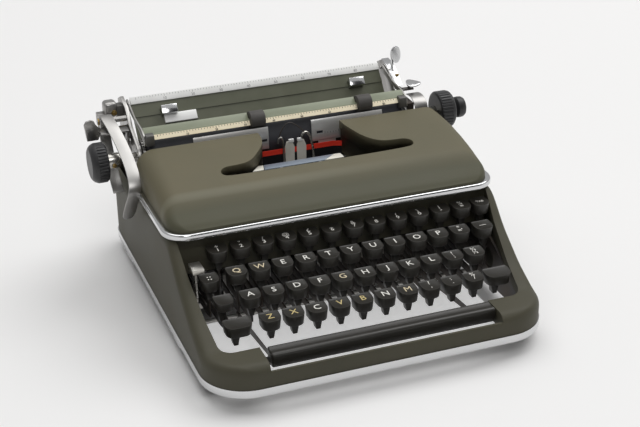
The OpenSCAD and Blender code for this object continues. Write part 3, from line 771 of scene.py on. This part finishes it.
def make_cap(name, width, neck_x=0.0):
    """Key top with a dished face, drawn in towards its foot, on a tapered neck"""
    cap = slab(name, "Z", cap_outline(width), -CAP_H, 0)
    for v in cap.data.vertices:
        if v.co.z < -0.5 * CAP_H * MM:
            v.co.x *= 0.89
            v.co.y = v.co.y * 0.93 + 0.1 * MM
        else:
            v.co.z += v.co.y * tan(radians(CAP_TILT))
    pick(cap)
    mode("EDIT")
    bpy.ops.mesh.select_mode(type="FACE")
    bpy.ops.mesh.select_all(action="DESELECT")
    mode("OBJECT")
    for face in cap.data.polygons:
        face.select = face.normal.z > 0.9
    mode("EDIT")
    bpy.ops.mesh.inset(thickness=RIM * MM, depth=0)
    bpy.ops.transform.translate(value=(0, 0, -DISH * MM))
    mode("OBJECT")
    soften(cap, 0.55, 3, 25)
    neck = slab(name + "_neck", "Z", rect(-3.6, -3, 3.6, 3.4), -CAP_H - 9, -CAP_H + 0.5)
    for v in neck.data.vertices:
        if v.co.z < (-CAP_H - 5) * MM:
            v.co.x *= 0.5
        v.co.x += neck_x * MM
    return join(name, cap, soften(neck, 0.4))


def make_lever(name, x, y, z):
    """Flat lever with its eye on the rod and an upright under the key"""
    top, bottom = LEVER_TOP, LEVER_TOP - LEVER_H
    reach = z - CAP_H - 2
    outline = [(y - 3.5, bottom + 1.5), (y + 5, bottom), (FULCRUM_Y - 7, bottom)]
    outline += arc(FULCRUM_Y, FULCRUM_Z, 6, 205, 505, 12)
    outline += [(FULCRUM_Y - 9, top), (y + 6, top), (y + 3.4, top + 3), (y + 2.6, reach), (y - 2.4, reach),
                (y - 3.5, top)]
    return soften(slab(name, "X", outline, x - LEVER_T / 2, x + LEVER_T / 2), 0.2, 1)


def make_legend(name, text, size, x, y, z):
    return lettering(name, text, size, (x, y, z - 0.52), CAP_TILT)


def make_column(column, pattern):
    """Keys of one diagonal column; the last column takes in the two beyond it"""
    node = f"key_column_{column}"
    caps, levers, words = [], [], {tint: [] for tint in TINTS}
    for row, legends in enumerate(LEGENDS):
        for place in range(column, len(legends) if column == LAST_COLUMN else column + 1):
            x = ROW_X[row] + place * PITCH
            y = KEY_Y + row * ROW_Y
            z = KEY_Z + row * ROW_Z
            caps.append(copy_of(pattern, "cap", (x, y, z)))
            levers.append(make_lever("lever", x, y, z))
            text = legends[place]
            tint = "yellow" if text in YELLOW_KEYS else "ivory" if text in IVORY_KEYS else "white"
            size, up = (8.8, -0.4) if len(text) == 1 else (6.2, -0.1)
            words[tint].append(make_legend("legend", text, size, x, y + up, z))
    stand_for(node, join(f"key_caps_{column}", *caps), KEY_BLACK)
    dress(join(f"key_levers_{column}", *levers), DARK, BODY_OF[node])
    for tint, material in TINTS.items():
        if words[tint]:
            legends = join(f"key_legends_{tint}_{column}", *words[tint])
            dress(legends, material, BODY_OF[node])


def special_key(node, width, row, lever_x, text="", size=0.0, sunk=0.0, short=0.0):
    """Key outside the lettered field, at its CAD node, with its lever off the cap's middle"""
    lo, hi = corners(node)
    x = (lo.x + hi.x) / 2
    y = KEY_Y + row * ROW_Y
    z = KEY_Z + row * ROW_Z - sunk
    cap = make_cap(node + "_cap", width, lever_x)
    for v in cap.data.vertices:
        if -CAP_H - 0.3 < v.co.z / MM < -0.6 * CAP_H:
            v.co.z += short * MM
    body = BODY_OF[node]
    stand_for(node, shift(cap, (x, y, z)), KEY_BLACK)
    dress(make_lever(node + "_lever", x + lever_x, y, z), DARK, body)
    if text:
        dress(make_legend(node + "_legend", text, size, x, y - 0.4, z), WHITE, body)


cap_pattern = make_cap("cap_pattern", CAP_W)
for number in range(LAST_COLUMN + 1):
    make_column(number, cap_pattern)
bpy.data.objects.remove(cap_pattern)
special_key("shift_key_left", 22, 0, -2.5)
special_key("shift_key_right", 22, 0, -2.5)
special_key("shift_lock_key", 15, 1, -2, sunk=0.5, short=1.6)
special_key("margin_key", 15, 2, -1, "::", 10, sunk=2)
special_key("tab_key", 15, 3, 0.5, "TAB", 3.6)
special_key("back_space_key", 16.2, 2, 1, "—", 6)


def make_space_bar():
    """Long bar with a rolled front edge, a dished top and a raised rear lip, on two thin arms"""
    lo, hi = corners("space_bar")
    front = -147.0
    profile = [(front + 0.8, 27), (front, 31), (front, 36.6)] + arc(front + 2.6, 36.8, 2.6, 180, 90, 6)
    profile += [(front + 5, 38.9), (front + 7.5, 38.6), (front + 9.4, 39.2)]
    profile += arc(front + 11.4, 38, 1.6, 110, 10, 5) + [(front + 13, 34), (front + 13, 27)]
    bar = slab("space_bar_body", "X", profile, lo.x, hi.x)
    round_edges(bar, 1.4, 3, lambda p, d: abs(d.x) < 0.5)
    outline = [(-140, 28), (-140, 32), (-50, 23.5)] + arc(-50, 20, 3.5, 90, -90, 8) + [(-50, 16.5)]
    arms = [soften(slab("arm", "X", outline, x - 0.3, x + 0.3), 0.1, 1) for x in (-87, 81.5)]
    stand_for("space_bar", bar, BAR_BLACK)
    dress(join("space_bar_arms", *arms), DARK, "space")


make_space_bar()


# Carriage

# The platen's axis, the grip flutes, and the plane of the return lever and its tail
AXIS_Y = 78.0
AXIS_Z = 114.0
FLUTE_EVERY = 4
FLUTE_DEPTH = 0.7
LEVER_X = -150
# Width of one typed letter, which the scales count
LETTER = 2.54


def lathe(name, profile, sides, flutes):
    """Turned piece on the platen's axis; profile is (x, radius) pairs, and the pairs in flutes are fluted"""
    rows = []
    for k in range(sides + 1):
        a = 2 * pi * k / sides
        dip = 0 if k % FLUTE_EVERY else FLUTE_DEPTH
        radii = [(x, r - dip if i in flutes else r) for i, (x, r) in enumerate(profile)]
        rows.append([(x, AXIS_Y + r * cos(a), AXIS_Z + r * sin(a)) for x, r in radii])
    return skin(name, rows)


def make_knobs():
    """Fluted grips, the button in the right one, and the platen between them"""
    left = [(-172, 0), (-172, 12.5), (-171.2, 14), (-169.6, 15.6), (-168, 16.4), (-166.8, 16.9), (-166.2, 17),
            (-160, 17), (-159.2, 16.7), (-158, 15.5), (-158, 0)]
    right = [(144, 0), (144, 14.8), (144.9, 16.4), (145.8, 17), (154, 17), (155.2, 16.9), (157.2, 16.2),
             (158.6, 14.6), (159, 13), (159, 0)]
    button = [(159.5, 0), (159.5, 6.3), (160.2, 6.7), (162.6, 6.7), (163.6, 8.4), (164.6, 9.3), (166.5, 9.5),
              (169.5, 9.3), (171.3, 8.2), (172, 6.6), (171.7, 0)]
    roll = [(-124, 0), (-124, 15.9), (-123.4, 16.5), (105.4, 16.5), (106, 15.9), (106, 0)]
    for node, name, profile, sides, flutes, material, smooth in (
            ("left_knob", "left_knob_grip", left, 144, (6, 7), KNOB_BLACK, 25),
            ("right_knob", "right_knob_grip", right, 144, (3, 4), KNOB_BLACK, 25),
            ("knob_button", "knob_button_cap", button, 72, (), KNOB_BLACK, 32),
            ("platen", "platen_sleeve", roll, 96, (), PLATEN, 32)):
        stand_for(node, lathe(name, profile, sides, flutes), material, smooth)


def heading(path, k):
    """Way from the point before to the point after"""
    return Vector(path[min(k + 1, len(path) - 1)][:3]) - Vector(path[max(k - 1, 0)][:3])


def tube_band(name, path, width, thick):
    """Flat curved strip with rounded edges; path gives (x, y, z, width factor)"""
    rows = []
    for k, (x, y, z, grow) in enumerate(path):
        way = heading(path, k)
        up = Vector((0, -way.z, way.y)).normalized()
        row = []
        for s in range(13):
            c, d = cos(pi * s / 6), sin(pi * s / 6)
            across = width / 2 * grow * copysign(abs(c) ** 0.4, c)
            through = thick / 2 * min(1, grow * 3) * copysign(abs(d) ** 0.5, d)
            row.append(Vector((x + across, y, z)) + up * through)
        rows.append(row)
    return fill_holes(skin(name, rows))


def make_return_lever():
    """Curved strip from the carriage end down beside the body, flared outwards at the finger tip"""
    rough = [(LEVER_X, 110, 141.5, 1.0), (LEVER_X, 107, 143.8, 1.0), (-149.6, 101, 143.4, 1.0),
             (-148.2, 89, 139.6, 1.0), (-145.8, 76, 132.6, 1.0), (-144, 63, 124.8, 1.0),
             (-143.6, 50, 119, 1.0), (-143.6, 39, 112, 1.0), (-144.4, 34, 106, 1.0), (-146.6, 33, 99, 1.0),
             (-148.6, 36, 90, 1.04), (-149.6, 41, 81, 1.0), (-150.2, 45, 76, 0.8), (-150.4, 47, 74, 0.3)]
    band = tube_band("return_lever_band", smooth_points(rough, closed=False), 10.6, 1.8)
    hub = soften(rod("hub", (-155.4, 108, 138), (-144.6, 108, 138), 5.4), 0.8, 3)
    stand_for("return_lever", join("return_lever_arm", band, hub), SATIN, 40)
    pin = soften(rod("lever_screw", (-156.6, 108, 138), (-155.2, 108, 138), 3.0, 24), 0.4)
    dress(pin, BRASS, "return_arm")


make_knobs()
make_return_lever()

for node, material, width in (
        ("end_plates", SATIN, 0.4), ("platen_shaft", BRIGHT, 0.5), ("ratchet_wheel", STEEL, 0),
        ("feed_roller", RUBBER, 0.3), ("margin_stop_left", CHROME, 0.4), ("margin_stop_right", CHROME, 0.4),
        ("bail_rollers", ROLLER, 0.8), ("release_lever_left", SATIN, 0.4), ("carriage_bed", DARK, 0.3),
        ("ribbon_cups", DARK, 0.3), ("type_rest", STEEL, 0.3), ("ribbon_selector", BRIGHT, 0.3),
        ("ribbon_spool_left", DARK, 0.2), ("ribbon_spool_right", DARK, 0.2), ("bell", BRIGHT, 0.2),
        ("mainspring_drum", BRASS, 0.3)):
    refined(node, material, width)


# Carriage details


def strip(name, path, width, thick, material):
    """Bent flat strip on the platen's frame along a path of (x, y, z) points"""
    points = smooth_points([(x, y, z, 1.0) for x, y, z in path], closed=False)
    return dress(tube_band(name, points, width, thick), material, "platen_frame", 40)


def wire(name, points, radius):
    """Round wire along a path"""
    path = smooth_points(points, closed=False)
    rows = []
    for k, p in enumerate(path):
        way = heading(path, k).normalized()
        left = way.cross(Vector((0.13, 0.97, 0.21))).normalized()
        up = way.cross(left)
        turns = [pi * s / 5 for s in range(11)]
        rows.append([Vector(p) + (left * cos(a) + up * sin(a)) * radius for a in turns])
    return fill_holes(skin(name, rows))


def ticks(name, x0, x1, place, length, tilt, size, bold):
    """Row of scale marks on a sloping face, longer at every fifth, with a number at every tenth"""
    y, z = place
    marks = []
    n = int((x1 - x0) / LETTER)
    for k in range(n + 1):
        x = x0 + k * LETTER
        long = length * (1.6 if k % 10 == 0 else 1.25 if k % 5 == 0 else 1)
        marks.append(tip(block("mark", (-bold, -long, -0.05), (bold, 0, 0.12)), tilt, (x, y, z)))
        if k % 10 == 0 and 0 < k < n:
            below = Matrix.Rotation(radians(tilt), 4, "X") @ Vector((0, -length * 1.6 - size * 0.62, 0))
            marks.append(lettering("number", str(k), size, (x, y + below.y, z + below.z), tilt, 0.2))
    return join(name, *marks)


# Slopes of the bail's bar and of the paper table, in degrees
BAIL_SLOPE = 38
TABLE_SLOPE = 51
ON_BAR = incline(64, 132.5, BAIL_SLOPE)
ON_TABLE = incline(99, 113, TABLE_SLOPE)
# Rod through the bail's bar, and the gaps in the bar at its rollers
BAIL_PIN = (67.9, 136.2)
ROLLER_X = (-35, 63)
ROLLER_GAP = 13.3


def make_bail():
    """Sloping bar with a cream scale along its lower edge, on two thin steel arms"""
    lo, hi = corners("paper_bail")
    x0, x1 = lo.x, hi.x
    sheet = 1.4

    outline = [ON_BAR(0.6), ON_BAR(0, 0.6), ON_BAR(0.4, 1.2), ON_BAR(9, 1.5), ON_BAR(12.4, 1.2),
               ON_BAR(13, 0.4), ON_BAR(12.6)]
    bar = slab("paper_bail_bar", "X", outline, x0 + sheet, x1 - sheet)
    edge = [ON_BAR(-0.2, 0.8), ON_BAR(4.2, 1.3), ON_BAR(4.2, 1.8), ON_BAR(-0.3, 1.4)]
    scale = slab("bail_scale", "X", edge, x0 + 9, x1 - 9)
    for x in ROLLER_X:
        for piece in (bar, scale):
            cut(piece, rod("gap", (x - 0.3, *BAIL_PIN), (x + ROLLER_GAP, *BAIL_PIN), 8.4))
    soften(bar, 0.3)
    pin = rod("pin", (x0 + 0.5, *BAIL_PIN), (x1 - 0.5, *BAIL_PIN), 1, 16)
    stand_for("paper_bail", join("paper_bail_bar", bar, pin), BAIL)
    dress(scale, CREAM, "bail")
    marks = ticks("bail_marks", x0 + 12, x1 - 12, ON_BAR(3.9, 1.78), 1.1, BAIL_SLOPE, 2.5, 0.2)
    dress(marks, INK, "bail")
    side = [(62.5, 129), (64, 137.5), (69, 139), (73, 140.5), (95, 142), (117, 149), (121, 149.6), (124, 147),
            (123, 143.4), (117.5, 142.8), (96, 138.4), (80, 136), (69, 131), (65, 128.6)]
    arms = [soften(slab("arm", "X", side, x, x + sheet), 0.3) for x in (x0, x1 - sheet)]
    dress(join("bail_arms", *arms), STEEL, "bail")
    face = [(61.2, 128.5), (61, 137.5), (62.4, 138.5), (67.5, 138.5), (68, 128.5)]
    ends = [soften(slab("end", "X", face, x, x + 7), 0.5) for x in (x0 + sheet, x1 - sheet - 7)]
    dress(join("bail_end_blocks", *ends), CAST, "bail")


def make_table_fittings():
    """Paper table with its pale ruler and marks, the slot line and the small white plate"""
    def on_rect(way0, lift0, way1, lift1):
        return [ON_TABLE(way0, lift0), ON_TABLE(way1, lift0), ON_TABLE(way1, lift1), ON_TABLE(way0, lift1)]

    cut(refined("paper_table", TABLE, 0), slab("shave", "X", on_rect(25, 2.4, 31, 6), -140, 140))
    lo, hi = corners("paper_ruler")
    slope = radians(TABLE_SLOPE)
    top = (hi.z - 113 - 2.65 * cos(slope)) / sin(slope)
    ruler = slab("ruler_strip", "X", on_rect(top - 6.6, 1.66, top, 2.6), lo.x, hi.x)
    dress(soften(ruler, 0.2), RULER, "platen_frame")
    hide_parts("paper_ruler")
    marks = ticks("ruler_marks", -119, 104, ON_TABLE(top - 0.6, 2.62), 1.3, TABLE_SLOPE, 3.4, 0.14)
    dress(marks, GREY_INK, "platen_frame")
    line = slab("table_slot", "X", on_rect(15, 1.5, 15.7, 1.72), -112, 96)
    dress(line, DARK, "platen_frame")
    face = [(17, 1.5), (25.6, 1.5), (25.6, 3.4), (24.6, 3.9), (17, 3.9)]
    plate = soften(slab("table_plate", "X", [ON_TABLE(*p) for p in face], -98, -69), 0.5, 3)
    dress(plate, PORCELAIN, "platen_frame")


def make_cards():
    """Bright plates that hug the platen, each with an oblong hole near its inner end and a fine scale"""
    front = [(57.9, 111.6), (57.9, 118), (58.1, 123), (58.7, 127), (59.3, 129.2), (60, 131)]
    rear = [(60.8, 130.7), (60.1, 128.9), (59.5, 126.8), (58.9, 122.9), (58.7, 118), (58.7, 111.6)]
    foot_w = 16
    pieces = []
    for a, b, hole, foot in ((-87, -21, -28, -47), (18, 84, 22.6, 24)):
        card = slab("card", "X", front + rear, a, b)
        cut(card, block("hole", (hole, 50, 118.2), (hole + 5.6, 64, 120.6)))
        post = slab("post", "X", rect(57.9, 76.5, 58.8, 112.5), foot, foot + foot_w)
        base = block("base", (foot, 56.1, 76), (foot + foot_w, 58.8, 77.4))
        pieces += [soften(card, 0.25), soften(post, 0.2, 1), soften(base, 0.2, 1)]
    stand_for("card_holders", join("card_plates", *pieces), CARD)
    marks = []
    for k in range(22):
        x = 30 + k * LETTER
        marks.append(block("mark", (x, 57.7, 117.5), (x + 0.2, 58.1, 119 + (0.8 if k % 5 == 0 else 0))))
    dress(join("card_marks", *marks), INK, "chassis")


def make_guide():
    """Two pale prongs with white tips, a wire loop at each side and a thin wire arch above"""
    y = 52.9
    tall = 117.4
    prongs = []
    for a, b in ((-8.2, 0.4), (2.4, 11.0)):
        outline = [(a + 0.5, 84), (b - 0.3, 84), (b, 112), (b - 2.2, tall), (a + 1.4, tall), (a, 113)]
        prongs.append(soften(slab("prong", "Y", outline, y, y + 0.8), 0.2, 1))
    bar = soften(block("bar", (-9.5, y, 84), (17.5, y + 0.8, 91)), 0.2, 1)
    stand_for("type_guide", join("type_guide_prongs", bar, *prongs), PRONG)
    tips = [soften(block("tip", (x, y - 0.8, 116.4), (x + 4.6, y + 1.2, 119.4)), 0.4) for x in (-5, 2.8)]
    dress(join("guide_tips", *tips), PORCELAIN, "guide")
    left = [(-9.6, y, 88), (-9.6, y, 112), (-10, y, 120), (-12, y, 122.4), (-14, y, 121.6), (-14.6, y, 117)]
    right = [(17.4, y, 88), (17.4, y, 106), (16, y, 114), (14.4, y, 120.6), (11, y, 124.2), (7.6, y, 123.2),
             (6.8, y, 119)]
    dress(join("guide_loops", wire("loop", left, 0.8), wire("loop", right, 1.1)), BRIGHT, "guide")
    top = [(-14.4, y, 119), (-12.4, y, 127), (-8, y, 133.6), (-3.4, y, 135.4), (3, y, 131), (10, y, 123.6)]
    dress(wire("guide_arch", top, 0.45), DARK, "guide")


def make_rest_plate():
    """Blue-grey plate across the basket, seen through the opening, between two pale corner pieces"""
    shapes = (("type_shield", [(-43, 5), (9.5, 5), (23.5, 22), (-38, 22)], REST),
              ("shield_left", [(-53, 5), (-43.4, 5), (-38.4, 22), (-43, 22)], PRONG),
              ("shield_right", [(10, 5), (27, 5), (30, 21.6), (24, 22)], PRONG))
    for name, outline, material in shapes:
        plate = slab(name, "Z", outline, 0, 0.8)
        for v in plate.data.vertices:
            v.co.z += (118.1 - 0.235 * v.co.y / MM) * MM
        soften(plate, 0.25)
        dress(plate, material, "chassis")
    stays = [soften(block("stay", (x, 2.2, 109.6), (x + 3, 5.4, 117.4)), 0.3, 1) for x in (-30, 4)]
    dress(join("shield_stays", *stays), STEEL, "chassis")


def screw(name, place, axis, radius, body="platen_frame"):
    """Slotted round head facing along an axis"""
    p, out = Vector(place), Vector(axis)
    head = soften(rod(name, p, p + out * 1.1, radius, 24), 0.3)
    reach = Vector([radius * 1.1 if abs(a) < 0.5 else 0.9 for a in axis])
    if abs(out.z) > 0.5:
        reach.y = 0.25
    else:
        reach.z = 0.25
    middle = p + out * 1.3
    cut(head, block("slot", middle - reach, middle + reach))
    return dress(head, BRASS, body)


def make_left_end():
    """Bracket of the return lever, its tail strip, the release thumb and small fittings"""
    box = block("left_bracket", (-148.5, 114.6, 137), (-137, 127, 150.4))
    round_edges(box, 3.2, 4, lambda p, d: abs(d.y) > 0.5 and p.z > 145 and p.x < -145)
    soften(box, 0.5)
    foot = soften(block("foot", (-154.5, 116, 134), (-148, 124, 141)), 0.6)
    dress(join("left_bracket", box, foot), SATIN, "platen_frame")
    web = soften(block("left_web", (-137.4, 117, 134), (-131.5, 126, 146)), 0.4)
    dress(web, CAST, "platen_frame")
    screw("bracket_screw", (-140.4, 114.7, 141.5), (0, -1, 0), 2.4)
    tail = [(LEVER_X, y, z) for y, z in (
        (120, 139), (116, 130), (112, 119), (103, 107), (92, 98), (82, 91), (76, 87), (74.5, 85.6))]
    strip("left_tail", tail, 9.6, 1.4, SATIN)
    outline = [(-168.6, 126), (-159, 126), (-157, 131), (-157.2, 136), (-160.4, 140), (-161.6, 143.4),
               (-164.4, 144.8), (-168.4, 144), (-170.4, 141)]
    plate = soften(slab("release_thumb_left", "Y", outline, 97.2, 98.9), 0.5, 3)
    dress(plate, SATIN, "release_l")
    clamp = soften(block("left_clamp", (-138.6, 103.5, 124.5), (-131.6, 110.5, 131)), 0.6)
    post = soften(rod("post", (-135, 107, 107), (-135, 107, 124.6), 2.6, 24), 0.4)
    dress(join("left_clamp", clamp, post), CAST, "platen_frame")
    screw("clamp_screw", (-135.4, 105.6, 130.8), (0, 0, 1), 2.4)
    screw("collar_screw", (-152.4, 71.8, 112), (0, -1, 0), 1.9, "platen_roll")


def make_right_end():
    """Oval paper release, flange strip, leaf-shaped carriage release and guard at the platen's end"""
    mid_x, mid_z = 118.6, 160.2
    angles = [radians(t) for t in range(0, 360, 12)]
    oval = [(mid_x + 4.9 * cos(a), mid_z + 7.6 * sin(a)) for a in angles]
    thumb = slab("thumb", "Y", oval, 108.6, 110.2)
    for v in thumb.data.vertices:
        v.co.y += ((v.co.x / MM - mid_x) ** 2 * 0.05 + (v.co.z / MM - 158) * 0.12) * MM
    soften(thumb, 0.5, 3)
    outline = [(107.6, 134), (108, 139), (107.6, 150), (108.6, 156), (112, 156), (112.8, 150), (116.6, 139),
               (116.2, 134), (112, 131.2)]
    arm = soften(slab("arm", "X", outline, 114.4, 115.8), 0.3)
    hub = soften(rod("hub", (114.2, 112, 136), (116.2, 112, 136), 4.6, 40), 0.4)
    stand_for("paper_release_lever", join("paper_release_arm", thumb, arm, hub), CHROME)
    flange = [(115.4, y, z) for y, z in ((127, 151), (118, 149.6), (110, 146.4), (102, 140.6), (95, 135.6))]
    strip("right_flange", flange, 7.4, 1.2, CHROME)
    screw("flange_screw", (117.4, 104, 142.4), (0, 0, 1), 1.8)
    rough = [(120.6, 86), (120.6, 92), (123.4, 97), (128, 96), (136, 89), (130, 85.4), (124, 84)]
    leaf = slab("leaf", "Z", smooth_points(rough), 137.6, 138.9)
    for v in leaf.data.vertices:
        v.co.z += (v.co.y / MM - 90) * 0.18 * MM
    dress(soften(leaf, 0.4), CHROME, "release_r")
    outline = [(91, 122), (92, 118.6), (96, 117), (100, 118.6), (101, 122), (97, 134), (90, 134)]
    plate = slab("release_arm", "X", outline, 116, 118)
    cut(plate, rod("bore", (115, 96, 122), (119, 96, 122), 2.05))
    shelf = block("shelf", (116, 89, 132.4), (127.6, 94.4, 134))
    stem = slab("stem", "X", [(89, 133), (94, 133), (92.8, 138), (89.8, 138)], 123.4, 127.4)
    lever = join("release_arm_right", soften(plate, 0.3), soften(shelf, 0.3), soften(stem, 0.4))
    stand_for("release_lever_right", lever, CAST)
    guard = [(124.6, y, z) for y, z in (
        (85.6, 130.6), (80, 131.6), (74, 131.2), (67.6, 128), (65, 123), (64.6, 117))]
    strip("right_guard", guard, 12.4, 1.2, SATIN)
    inside = block("guard_inside", (112.8, 68.6, 116), (118.6, 83, 128.6))
    dress(inside, DARK, "platen_frame")


make_bail()
make_table_fittings()
make_cards()
make_guide()
make_rest_plate()
make_left_end()
make_right_end()

# CAD nodes that are shown as they are, each with its finish
for node, material in (
        ("feet", FOOT), ("side_frames", DARK), ("cross_bars", DARK), ("lever_rod", STEEL),
        ("key_comb", STEEL), ("segment", STEEL), ("type_bars", STEEL), ("type_bar_centre", STEEL),
        ("ribbon", TAPE), ("carriage_rails", STEEL), ("escapement_wheel", BRASS)):
    obj = frame["nodes"][node]
    obj.data.materials.clear()
    obj.data.materials.append(material)


# Stage, in metres

PALE = (0.86, 0.855, 0.85)


def stage_plane(name, place, size, finish, turn=(0, 0, 0)):
    """Plane of the studio, which isn't part of the machine"""
    deselect()
    bpy.ops.mesh.primitive_plane_add(size=1, location=place, rotation=turn)
    plane = named(name)
    plane.scale = (*size, 1)
    settle(plane).data.materials.append(finish.material)
    return plane


stage_plane("studio_floor", (0, 0, 0), (8, 8), Finish("studio_pale", PALE, 0.9, specular=0.1))

# Sheet under the keyboard that stands for the light bounced there
glow = Finish("bounce_white", PALE, 0.9, specular=0.1)
glow.set("Emission Color", (1, 1, 1))
glow.set("Emission Strength", 0.44)
stage_plane("bounce_sheet", (0, -0.070, 0.0004), (0.244, 0.096), glow)

# Dark cards behind the camera and on the left, for the machine's front and side to mirror
shade = Finish("studio_shade", (0.03, 0.03, 0.03), 0.9, specular=0.1)
front_card = stage_plane("front_card", (0.2, -2.3, 1.1), (5, 5), shade, (pi / 2, 0, 0))
front_card.visible_camera = False
left_card = stage_plane("left_card", (-2.6, -0.2, 0.9), (3.6, 3.6), shade, (0, pi / 2, 0))
left_card.visible_camera = False
left_card.visible_glossy = False


def area_light(name, place, aim, size, power):
    light = bpy.data.lights.new(name, "AREA")
    light.shape = "DISK"
    light.size = size
    light.energy = power
    obj = link(bpy.data.objects.new(name, light))
    obj.location = place
    obj.rotation_euler = (Vector(place) - Vector(aim)).to_track_quat("Z", "Y").to_euler()


area_light("key_light", (2.6, 0.8, 4.2), (0, 0, 0.08), 3.6, 92)
area_light("top_light", (-0.5, 1.2, 4.4), (0, 0, 0.1), 4.0, 66)
area_light("front_fill", (-0.3, -1.8, 2.0), (0, 0, 0.08), 1.2, 15)

world = bpy.data.worlds.new("studio_world")
world.use_nodes = True
bpy.context.scene.world = world
sky = world.node_tree.nodes["Background"]
sky.inputs["Color"].default_value = (0.94, 0.94, 0.94, 1)
sky.inputs["Strength"].default_value = 0.5

# Camera found from the photograph's vanishing lines and key spacing
LENS_MM = 79.07
CAMERA_PLACE = (-0.3654, -0.9910, 0.5894)
CAMERA_TURN = (63.9072, 0.6359, -20.7052)
camera_data = bpy.data.cameras.new("photo_camera")
camera_data.lens = LENS_MM
camera_data.sensor_width = 36.0
camera_data.clip_start = 0.01
camera = link(bpy.data.objects.new("photo_camera", camera_data))
camera.location = CAMERA_PLACE
camera.rotation_euler = [radians(a) for a in CAMERA_TURN]
bpy.context.scene.camera = camera
bpy.context.scene.view_settings.view_transform = "Standard"
